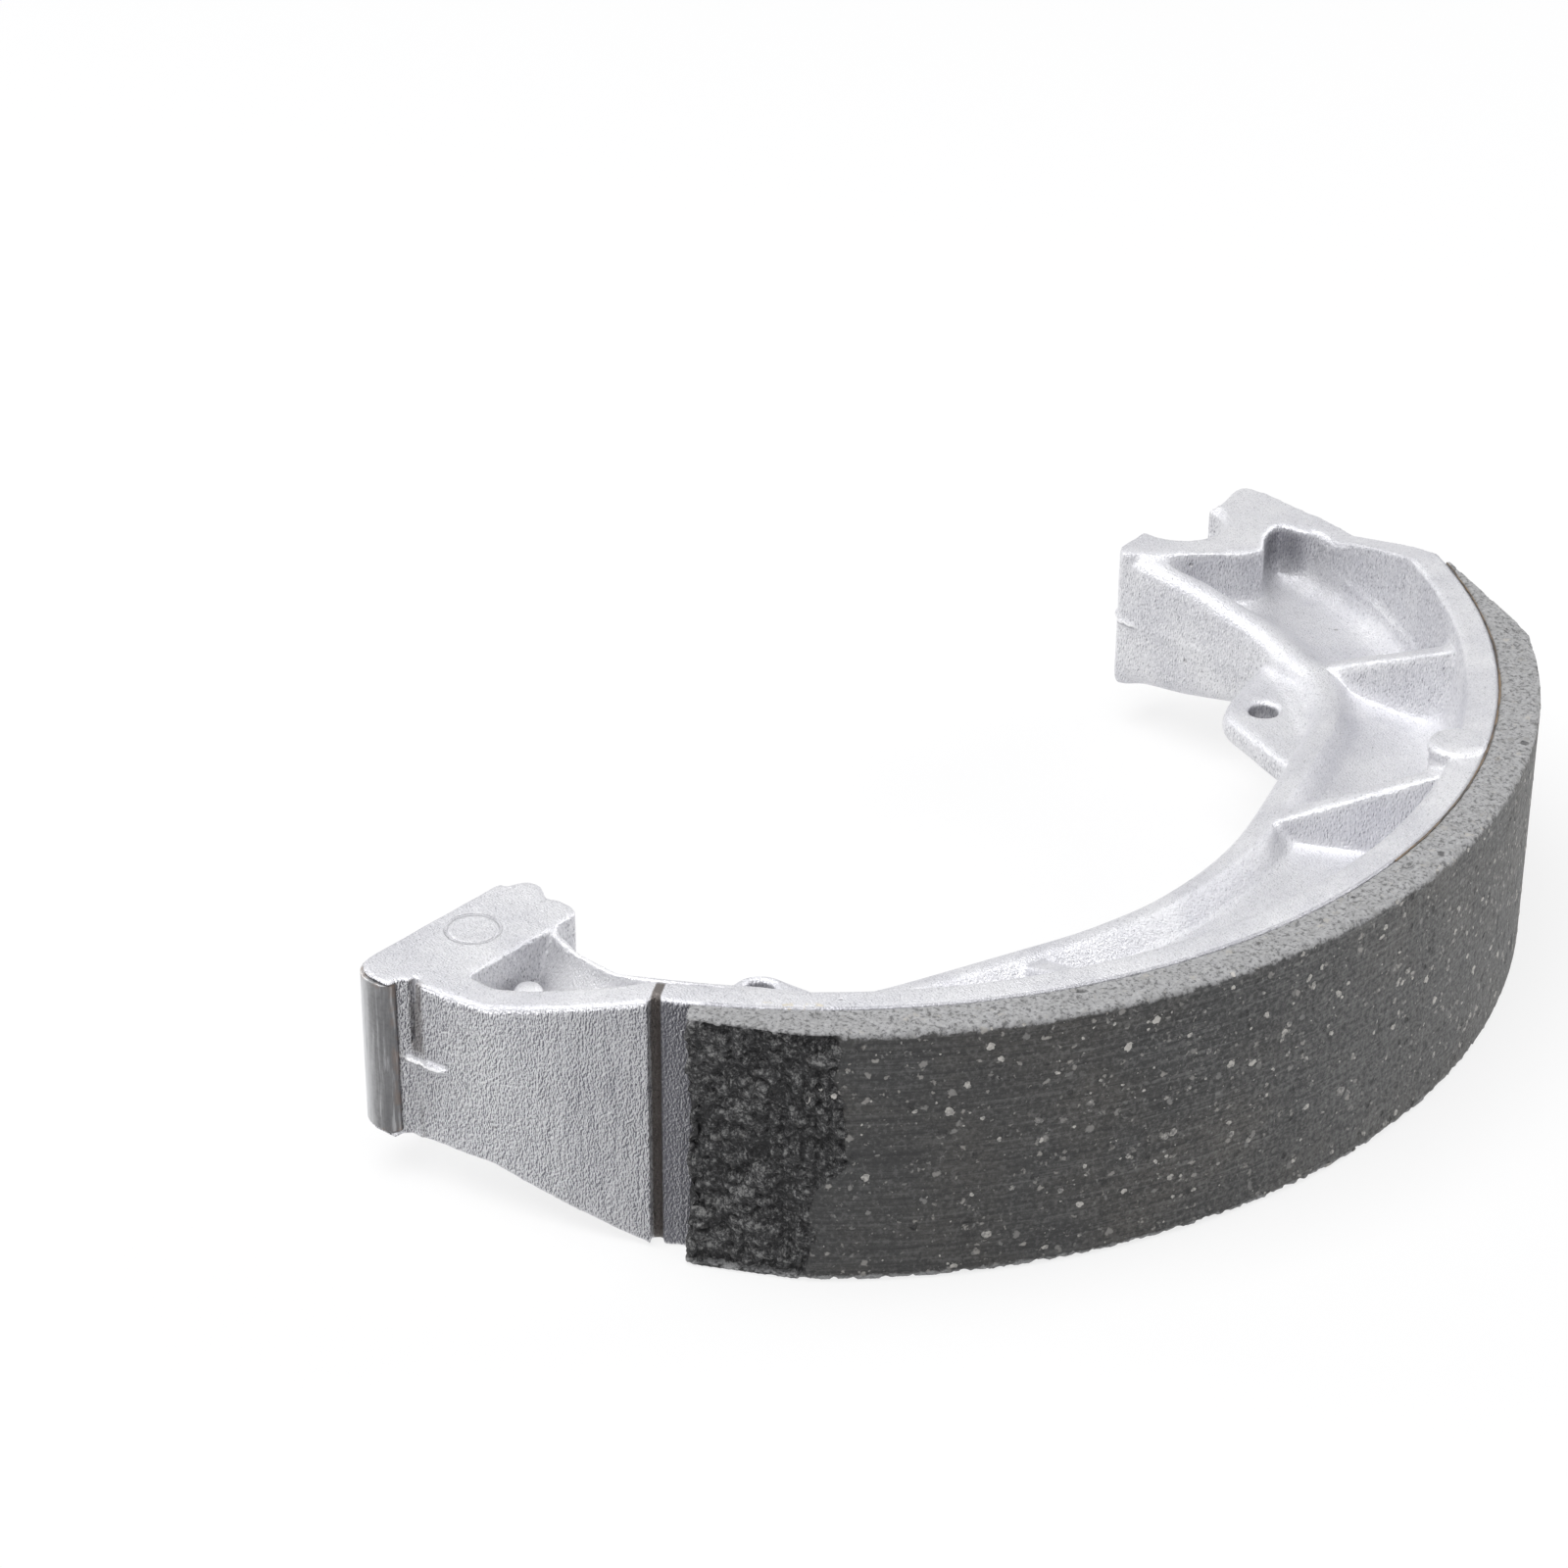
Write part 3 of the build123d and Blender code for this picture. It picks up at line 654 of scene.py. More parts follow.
@dataclass(frozen=True)
class StudioFloor:
    """The pale floor: white to the camera but for the object's shadow."""

    colour: Triple = (0.86, 0.86, 0.86)
    light: Triple = (0.88, 0.88, 0.88)
    white_share: float = 0.80

    def build(self) -> bpy.types.Material:
        """Build the finish.

        Returns:
            The material.
        """
        g = Graph("studio_floor")
        grain = g.noise(g.place, 200.0)
        normal = g.node("ShaderNodeBump", {}, {"Height": grain, "Distance": 0.00001, "Strength": 0.1})
        colour = g.blend(grain, self.colour, self.light)
        matt = g.node("ShaderNodeBsdfDiffuse", {}, {"Color": colour, "Normal": normal})
        white = g.node("ShaderNodeEmission", {}, {"Color": (1.0, 1.0, 1.0), "Strength": 1.0})
        mixed = g.node("ShaderNodeMixShader", {}, {0: g.seen() * self.white_share, 1: matt, 2: white})
        g.node("ShaderNodeOutputMaterial", {}, {0: mixed})
        return g.material


# ---- meshes and geometry trees ----


def add_object(name: str, data: bpy.types.ID) -> bpy.types.Object:
    """Return a new object in the scene."""
    made = bpy.data.objects.new(name, data)
    bpy.context.scene.collection.objects.link(made)
    return made


def carry_out(piece: bpy.types.Object) -> None:
    """Give a piece the plain mesh that its modifiers make, and drop them.

    Args:
        piece: the object, which is changed.
    """
    graph = bpy.context.evaluated_depsgraph_get()
    graph.update()
    mesh = bpy.data.meshes.new_from_object(piece.evaluated_get(graph))
    piece.modifiers.clear()
    piece.data = mesh


def dress(mesh: bpy.types.Mesh, material: bpy.types.Material) -> None:
    """Give a mesh its material and smooth shading.

    Args:
        mesh: the mesh.
        material: the material.
    """
    mesh.materials.clear()
    mesh.materials.append(material)
    mesh.polygons.foreach_set("use_smooth", np.ones(len(mesh.polygons), bool))
    mesh.update()


def triples(items: bpy.types.bpy_prop_collection, name: str) -> Array:
    """Read three numbers of each of a mesh's items.

    Args:
        items: the mesh's vertices or their normals.
        name: what is read.

    Returns:
        One row for each item.
    """
    found = np.empty(len(items) * 3, np.float32)
    items.foreach_get(name, found)
    return found.reshape(-1, 3).astype(np.float64)


def store(mesh: bpy.types.Mesh, name: str, values: Array) -> None:
    """Store one number for each vertex under a name that a shader reads."""
    mesh.attributes.new(name, "FLOAT", "POINT").data.foreach_set("value", values.astype(np.float32))


def plan_radius(points: Array, centre: Pair = (0.0, 0.0)) -> Array:
    """Return each point's distance from an upright axis, which is the drum's unless a centre is given."""
    return np.hypot(points[:, 0] - centre[0], points[:, 1] - centre[1])


def plan_angle(points: Array) -> Array:
    """Return each point's angle round the drum's axis."""
    return np.arctan2(points[:, 1], points[:, 0])


def smooth_step(values: Array, start: float, end: float) -> Array:
    """Return a smooth step from 0 at start to 1 at end."""
    share = np.clip((values - start) / (end - start), 0, 1)
    return share * share * (3 - 2 * share)


def value_noise(points: Array, scale: float, seed: int) -> Array:
    """Return smooth noise from 0 to 1 at points.

    Args:
        points: an array of positions in metres.
        scale: waves for each metre.
        seed: a number that picks the pattern.

    Returns:
        One number for each point.
    """
    placed = points * scale
    corner = np.floor(placed).astype(np.int64)
    part = placed - corner
    part = part * part * (3 - 2 * part)
    total = np.zeros(len(points))
    for step in np.ndindex(2, 2, 2):
        i, j, k = (corner + step).T
        mixed = (i * 73856093) ^ (j * 19349663) ^ (k * 83492791) ^ (seed * 2654435761)
        mixed = (mixed ^ (mixed >> 13)) * 1274126177
        mixed = (mixed ^ (mixed >> 16)) & 0xFFFF
        weight = np.prod(np.where(step, part, 1 - part), axis=1)
        total += weight * mixed / 0xFFFF
    return total


class GeometryTree(Tree):
    """A Geometry Nodes tree with named inputs."""

    def __init__(self, name: str, inputs: dict[str, float]) -> None:
        """Start a tree.

        Args:
            name: the tree's name.
            inputs: each input's name and value.
        """
        super().__init__(bpy.data.node_groups.new(name, "GeometryNodeTree"))
        face = self.tree.interface
        face.new_socket(name="Geometry", in_out="INPUT", socket_type="NodeSocketGeometry")
        self.values = {}
        for label, given in inputs.items():
            kind = "NodeSocketInt" if isinstance(given, int) else "NodeSocketFloat"
            socket = face.new_socket(name=label, in_out="INPUT", socket_type=kind)
            self.values[socket.identifier] = given
        face.new_socket(name="Geometry", in_out="OUTPUT", socket_type="NodeSocketGeometry")
        self.given = self.node("NodeGroupInput").out

    def chance(self, low: float, high: float, seed: Number) -> Value:
        """Return a random number for each item."""
        sockets = {2: low, 3: high, "Seed": seed}
        return self.node("FunctionNodeRandomValue", {"data_type": "FLOAT"}, sockets).out(1)

    def spread(self, value: Value, *ends: Number) -> Value:
        """Return a value that is mapped evenly from one range, ends 1 and 2, to another, ends 3 and 4."""
        return self.node("ShaderNodeMapRange", {}, dict(enumerate((value, *ends))))

    def moved(self, geometry: Value, noise: Value, span: Triple) -> Value:
        """Return geometry that a noise's colour moves about, by half a span each way."""
        offset = self.vector("MULTIPLY_ADD", noise.out("Color"), span, tuple(-0.5 * part for part in span))
        return self.node("GeometryNodeSetPosition", {}, {"Geometry": geometry, "Offset": offset})

    def apply(self, name: str, base: bpy.types.Mesh, last: Value,
              material: bpy.types.Material) -> bpy.types.Object:
        """End the tree, run it on a mesh and return the result as a plain object.

        Args:
            name: the new object's name.
            base: the mesh that goes in.
            last: the node with the finished geometry.
            material: the material that the result takes.

        Returns:
            The object, with no modifier left on it.
        """
        real = self.node("GeometryNodeRealizeInstances", {}, {0: last})
        dressed = self.node("GeometryNodeSetMaterial", {}, {0: real, "Material": material})
        self.node("NodeGroupOutput", {}, {0: dressed})
        piece = add_object(name, base)
        modifier = piece.modifiers.new("tree", "NODES")
        modifier.node_group = self.tree
        for identifier, given in self.values.items():
            modifier[identifier] = given
        carry_out(piece)
        return piece


@dataclass
class Skin:
    """A welded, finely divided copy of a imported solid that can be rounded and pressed."""

    source: bpy.types.Object
    name: str
    voxel: float
    weld: float = 2e-6
    normal_life: int = 6

    def __post_init__(self) -> None:
        """Copy, weld and divide the solid's mesh."""
        mesh = self.source.data.copy()
        shell = bmesh.new()
        shell.from_mesh(mesh)
        bmesh.ops.remove_doubles(shell, verts=shell.verts, dist=self.weld)
        shell.to_mesh(mesh)
        shell.free()
        self.piece = add_object(self.name, mesh)
        remesh = self.piece.modifiers.new("divide", "REMESH")
        remesh.mode = "VOXEL"
        remesh.voxel_size = self.voxel
        carry_out(self.piece)
        mesh = self.piece.data
        self.points = triples(mesh.vertices, "co")
        edges = np.empty(len(mesh.edges) * 2, np.int32)
        mesh.edges.foreach_get("vertices", edges)
        self.edges = edges.reshape(-1, 2)
        self.degree = np.bincount(edges, minlength=len(self.points)).astype(np.float64)

    def offsets(self) -> Array:
        """Return the way from each point to the mean of its neighbours.

        Returns:
            One row for each point.
        """
        first, second = self.edges[:, 0], self.edges[:, 1]
        mean = np.empty_like(self.points)
        for axis in range(3):
            column = self.points[:, axis]
            mean[:, axis] = np.bincount(first, column[second], len(column))
            mean[:, axis] += np.bincount(second, column[first], len(column))
        return mean / self.degree[:, None] - self.points

    def normals(self) -> Array:
        """Put the points back on the mesh and find its normals.

        Returns:
            The unit normal at each point.
        """
        self.piece.data.vertices.foreach_set("co", self.points.astype(np.float32).ravel())
        self.piece.data.update()
        return triples(self.piece.data.vertex_normals, "vector")

    def relax(self, passes: int, freedom: Union[Array, float] = 1.0, factor: float = 0.5) -> None:
        """Smooth every point a little, as far as it is free to move."""
        for _ in range(passes):
            self.points += self.offsets() * np.reshape(factor * freedom, (-1, 1))

    def round_off(self, passes: int, edge_radius: Array, foot_radius: Array, freedom: Array) -> None:
        """Round edges and fill inner corners until they have about the given radii.

        Args:
            passes: how many small moves are made.
            edge_radius: the radius that outer edges end with, at each point.
            foot_radius: the radius that inner corners end with, at each point.
            freedom: how freely each point moves, from 0 to 1.
        """
        edge_limit, foot_limit = (self.voxel**2 / (4 * radius) for radius in (edge_radius, foot_radius))
        for turn in range(passes):
            if turn % self.normal_life == 0:
                normals = self.normals()
            bend = np.einsum("ij,ij->i", self.offsets(), normals)
            move = np.where(bend > 0, np.maximum(bend - foot_limit, 0), np.minimum(bend + edge_limit, 0))
            self.points += normals * (move * freedom)[:, None]

    def press(self, rise: Array) -> None:
        """Move each point along its normal by its own rise."""
        self.points += self.normals() * rise[:, None]

    def finish(self, triangles: int, material: bpy.types.Material) -> bpy.types.Object:
        """Thin the mesh and dress it.

        Args:
            triangles: how many triangles it may keep.
            material: its material.

        Returns:
            The finished piece.
        """
        self.normals()
        present = sum(len(face.vertices) - 2 for face in self.piece.data.polygons)
        if present > triangles:
            self.piece.modifiers.new("thin", "DECIMATE").ratio = triangles / present
            carry_out(self.piece)
        dress(self.piece.data, material)
        return self.piece


# ---- pieces ----


def mm(*lengths: float) -> tuple[float, ...]:
    """Return lengths given in millimetres in metres."""
    return tuple(length * MM for length in lengths)


@dataclass(frozen=True)
class Zone:
    """A region in plan, in millimetres, with the radii of its edges and inner corners."""

    low: Pair
    high: Pair
    reach: Pair = (0.0, 90.0)
    edge_radius: float = 0.75
    foot_radius: float = 2.4

    def holds(self, points: Array) -> Array:
        """Find the points in the plan box and within the reach from the drum's axis.

        Args:
            points: the points, in metres.

        Returns:
            Whether each point lies in the zone.
        """
        radius = plan_radius(points)
        inside = (radius > self.reach[0] * MM) & (radius < self.reach[1] * MM)
        for axis in (0, 1):
            inside &= (points[:, axis] > self.low[axis] * MM) & (points[:, axis] < self.high[axis] * MM)
        return inside


ZONES = {
    "channel": Zone((0, -90), (90, 90), (54.0, 69.5), 2.0, 4.2),
    "rim": Zone((0, -90), (90, 90), (69.5, 74.3), 1.0, 4.2),
    "bead": Zone((0, -90), (90, 90), (0.0, 58.5), 1.3, 2.6),
    "anchor_ear": Zone((27.0, 31.0), (38.0, 45.0), (0.0, 56.0), 1.9, 3.0),
    "cam_ear": Zone((24.5, -48.0), (34.5, -37.0), (0.0, 56.0), 1.6, 3.0),
    "flange": Zone((8.0, 40.0), (40.0, 53.5), (46.0, 62.0), 4.2, 3.5),
    "fork": Zone((0.0, 53.5), (21.5, 90.0), (0.0, 90.0), 0.7, 1.3),
    "recess": Zone((14.2, 56.5), (26.5, 70.5), (0.0, 74.0), 2.2, 3.5),
    "recess_knob": Zone((18.2, 65.5), (25.0, 71.5), (0.0, 76.0), 4.0, 3.0),
    "fork_corner": Zone((0.0, 40.0), (8.0, 53.5), (0.0, 90.0), 1.4, 1.5),
    "arm_end": Zone((0.0, 66.6), (9.5, 90.0), (0.0, 90.0), 2.6, 1.5),
    "cam_block": Zone((0.0, -90.0), (16.0, -51.0), (0.0, 90.0), 0.7, 1.5),
    "bridge": Zone((14.5, -64.0), (48.0, -53.5), (0.0, 70.0), 1.6, 5.0),
    "wall": Zone((0.0, -90.0), (90.0, 90.0), (74.3, 90.0), 0.55, 2.0),
    "cam_wall": Zone((10.5, -90.0), (36.0, -60.0), (73.0, 90.0), 1.4, 2.0),
}
PLATE_SEAT = Zone((-90, -90), (12.0, -70.5))
PLATE_BEND = Zone((-90, -90), (6.2, -52.0))
PLATE_SLIT = Zone((9.2, -90), (11.6, -73.0))
CAM_WALL = Zone((9.4, -90), (90, -73))
FORK_FACE = Zone((-90, 47), (90, 50))


@dataclass
class Casting:
    """The die-cast shoe, with the rounding, flash and grain that the die and blasting leave."""

    voxel: float = 0.26 * MM
    passes: int = 210
    triangles: int = 190000
    mid_level: float = 14.5 * MM
    top_level: float = 29.0 * MM
    bed_radius: float = 75.5 * MM
    bores: tuple[tuple[Pair, float], ...] = (
        (mm(34.0, 39.4), 3.2 * MM), (mm(29.3, -42.9), 3.2 * MM), (mm(6.3, 60.6), 7.2 * MM),
    )
    mark: Pair = mm(8.1, -62.8)
    mark_radius: float = 2.7 * MM
    mark_clear: float = 0.7 * MM
    mark_edge: float = 0.30 * MM
    mark_rise: float = 0.22 * MM
    column: Pair = mm(67.0, 27.2)
    column_radius: float = 3.0 * MM
    column_clear: float = 0.6 * MM
    column_edge: float = 0.15 * MM
    column_rise: float = 0.38 * MM
    bridge_x: tuple[float, ...] = mm(13.0, 19.0, 24.5, 35.0, 46.7)
    bridge_y: tuple[float, ...] = mm(-58.1, -60.3, -60.6, -57.9, -53.5)
    bridge_half: float = 1.6 * MM
    bridge_lean: float = 2.7 * MM
    bridge_start: Pair = mm(11.0, 13.8)
    bridge_end: Pair = mm(34, 45)
    bridge_height: Pair = mm(1.5, 9.2)
    arm_y: Pair = mm(65.2, 66.8)
    arm_x: Pair = mm(5.5, 12)
    arm_cut: float = 0.9 * MM
    recess_half: float = 13.0 * MM
    recess_passes: int = 14
    flash_half: float = 0.38 * MM
    flash_shake: float = 0.3
    cam_flash_end: Pair = mm(13.0, 15.5)
    fork_flash_end: Pair = mm(8.5, 10.0)
    faint_flash_end: Pair = mm(20, 24)
    slit_start: Pair = mm(9.75, 10.05)
    slit_end: float = 10.7 * MM
    slit_foot: Pair = mm(15.2, 16.2)
    slit_face: float = -75.3 * MM
    slit_depth: float = 1.0
    register_angle: float = radians(-61.4)
    register_clear: float = radians(1.1)
    groove_depth: float = 1.6 * MM
    lining_start: Pair = (radians(-60.0), radians(-57.5))
    lining_end: float = radians(55.5)
    held: float = 0.12

    def build(self) -> bpy.types.Object:
        """Build the dressed casting.

        Returns:
            The finished piece.
        """
        skin = Skin(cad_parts["shoe_casting"], "casting_body", self.voxel)
        freedom = self.freedom(skin.points)
        self.lean(skin.points)
        skin.relax(2, freedom)
        edges, feet = self.radii(skin.points)
        skin.round_off(self.passes, edges, feet, freedom)
        skin.relax(1, freedom)
        inner = np.abs(skin.points[:, 2] - self.mid_level) < self.recess_half
        skin.relax(self.recess_passes, freedom * (ZONES["recess"].holds(skin.points) & inner) * 0.9)
        skin.press(self.relief(skin.points, skin.normals()))
        piece = skin.finish(self.triangles, BlastedCasting().build())
        slope = np.abs(triples(piece.data.vertex_normals, "vector")[:, 2])
        store(piece.data, "upright", 1 - smooth_step(slope, 0.15, 0.40))
        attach(piece, "root")
        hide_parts("shoe_casting")
        return piece

    def lean(self, points: Array) -> None:
        """Lean the bridge's pocket side back to a thin crest and shorten the fork's outer arm.

        Args:
            points: the casting's points, which are moved.
        """
        x, y, z = points.T
        middle = np.interp(x, self.bridge_x, self.bridge_y)
        across = (middle + self.bridge_half - y) / (2 * self.bridge_half)
        share = np.clip(across, 0, 1) * (1 - smooth_step(across, 1.3, 2.0)) * (across > 0)
        reach = smooth_step(x, *self.bridge_start) * (1 - smooth_step(x, *self.bridge_end))
        height = np.abs(z - self.mid_level)
        points[:, 1] += share * reach * smooth_step(height, *self.bridge_height) * self.bridge_lean
        points[:, 0] += smooth_step(y, *self.arm_y) * (1 - smooth_step(x, *self.arm_x)) * self.arm_cut

    def radii(self, points: Array) -> tuple[Array, Array]:
        """Find the radii that edges and inner corners take.

        Args:
            points: the casting's points.

        Returns:
            The edge radius and the inner corner's radius at each point.
        """
        edges = np.full(len(points), Zone.edge_radius * MM)
        feet = np.full(len(points), Zone.foot_radius * MM)
        for zone in ZONES.values():
            inside = zone.holds(points)
            edges[inside] = zone.edge_radius * MM
            feet[inside] = zone.foot_radius * MM
        return edges, feet

    def freedom(self, points: Array) -> Array:
        """Hold back the bores, the notch, the groove, the plate's seat and the bond from rounding.

        Args:
            points: the casting's points.

        Returns:
            How freely each point may move, from 0 to 1.
        """
        free = np.ones(len(points))
        for centre, clear in self.bores:
            free *= smooth_step(plan_radius(points, centre), clear * 0.8, clear)
        top = smooth_step(points[:, 2], self.mid_level + 7.5 * MM, self.mid_level + 8.5 * MM)
        for centre, clear in (
            (self.mark, self.mark_radius + self.mark_clear),
            (self.column, self.column_radius + self.column_clear),
        ):
            free *= 1 - 0.92 * top * (1 - smooth_step(plan_radius(points, centre), clear * 0.95, clear))
        radius, angle = plan_radius(points), plan_angle(points)
        groove = np.abs(angle - self.register_angle) < self.register_clear
        groove &= radius > self.bed_radius - self.groove_depth
        free[groove | PLATE_SEAT.holds(points) | PLATE_BEND.holds(points)] = self.held
        free[PLATE_SLIT.holds(points)] = 0.0
        bonded = (radius > 74.6 * MM) * smooth_step(angle, *self.lining_start) * (angle < self.lining_end)
        return np.minimum(free, 1 - 0.95 * bonded)

    def relief(self, points: Array, normals: Array) -> Array:
        """Find how far the die's flash and marks and the grain raise the surface.

        Args:
            points: the casting's points.
            normals: the normal at each point.

        Returns:
            The rise at each point.
        """
        x, y, z = points.T
        radius, angle = plan_radius(points), plan_angle(points)
        slope = np.abs(normals[:, 2])
        upright = 1 - smooth_step(slope, 0.35, 0.6)
        ragged = value_noise(points, 900.0, 3)
        rise = self.flash(points, upright, ragged)
        wall = (radius > 73.5 * MM) & (angle < radians(-57.0)) & (upright > 0.5)
        fibre = value_noise(points * np.array([1.0, 1.0, 0.5]), 1150.0, 5)
        rise += np.where(wall, 0.035, 0.012) * MM * (fibre - 0.5)
        rise += (value_noise(points, 160.0, 8) - 0.5) * 0.08 * MM
        lip = (value_noise(points, 500.0, 9) - 0.45) * 0.06 * MM
        blunt = ZONES["fork"].holds(points) | ZONES["cam_block"].holds(points) | ZONES["wall"].holds(points)
        rise += np.where((slope > 0.35) & (slope < 0.9) & blunt, lip, 0.0)
        far = self.slit_end + np.clip((z - 16.0 * MM) * 0.11, 0, 0.9 * MM) + (ragged - 0.5) * 0.4 * MM
        slit = smooth_step(x, *self.slit_start) * (1 - smooth_step(x, far - 0.25 * MM, far))
        slit *= smooth_step(z, *self.slit_foot) * (y < self.slit_face) * upright
        rise -= slit * self.slit_depth * MM
        edge = self.column_edge
        away = plan_radius(points, self.column)
        raised = 1 - smooth_step(away, self.column_radius - edge, self.column_radius + edge)
        rise += raised * (z > self.top_level - 0.8 * MM) * self.column_rise
        away = plan_radius(points, self.mark)
        raised = 1 - smooth_step(away, self.mark_radius - self.mark_edge, self.mark_radius)
        rise += smooth_step(normals[:, 2], 0.6, 0.9) * self.mark_rise * raised
        hidden = (angle > self.lining_start[1]) & (angle < self.lining_end)
        hidden &= (radius > self.bed_radius - 0.2 * MM) & (z > 0.6 * MM) & (z < self.top_level - 0.6 * MM)
        rise[hidden] = 0
        return rise

    def flash(self, points: Array, upright: Array, ragged: Array) -> Array:
        """Find how far the parting line's flash raises the surface, most on the cam end and the fork.

        Args:
            points: the casting's points.
            upright: 1 where the surface stands upright.
            ragged: a noise from 0 to 1.

        Returns:
            The rise at each point.
        """
        x, y, z = points.T
        off = z - self.mid_level - (ragged - 0.5) * self.flash_shake * MM
        ridge = np.exp(-((off / self.flash_half) ** 2)) * upright
        rise = ridge * smooth_step(ragged, 0.2, 0.7) * 0.05 * MM
        strip = CAM_WALL.holds(points) * (1 - smooth_step(x, *self.cam_flash_end))
        rise += ridge * strip * (0.4 + 0.5 * ragged) * MM
        face = ridge * FORK_FACE.holds(points)
        rise += face * (1 - smooth_step(x, *self.fork_flash_end)) * 0.14 * MM
        rise += face * (1 - smooth_step(x, *self.faint_flash_end)) * 0.10 * MM * smooth_step(ragged, 0.3, 0.6)
        return rise


@dataclass
class PocketBoss:
    """The round-topped boss that an ejector pin left in the cam end's pocket."""

    centre: Pair = mm(16.05, -63.2)
    base: float = 15.4 * MM
    top: float = 20.4 * MM
    tip: float = 0.05 * MM
    radius: float = 1.5 * MM
    crown: float = 0.7 * MM
    rings: int = 10
    steps: int = 48

    def build(self) -> bpy.types.Object:
        """Build the boss, a closed lathe turning that stands in the web.

        Returns:
            The finished piece.
        """
        shell = bmesh.new()
        profile = [(0.0, self.base), (self.radius, self.base), (self.radius, self.top - self.crown)]
        for ring in range(1, self.rings + 1):
            turn = radians(90.0 * ring / self.rings)
            inset, drop = self.crown * (1 - cos(turn)), self.crown * (1 - sin(turn))
            profile.append((self.radius - inset, self.top - drop))
        profile.append((0.0, self.top + self.tip))
        x, y = self.centre
        points = [shell.verts.new((x + reach, y, level)) for reach, level in profile]
        edges = [shell.edges.new(pair) for pair in zip(points, points[1:])]
        bmesh.ops.spin(shell, geom=points + edges, cent=(*self.centre, 0.0), axis=(0.0, 0.0, 1.0),
                       angle=radians(360.0), steps=self.steps, use_merge=True)
        bmesh.ops.remove_doubles(shell, verts=shell.verts, dist=1e-6)
        bmesh.ops.recalc_face_normals(shell, faces=shell.faces)
        mesh = bpy.data.meshes.new("pocket_boss")
        shell.to_mesh(mesh)
        shell.free()
        dress(mesh, BlastedCasting().build())
        piece = add_object("pocket_boss", mesh)
        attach(piece, "root")
        return piece


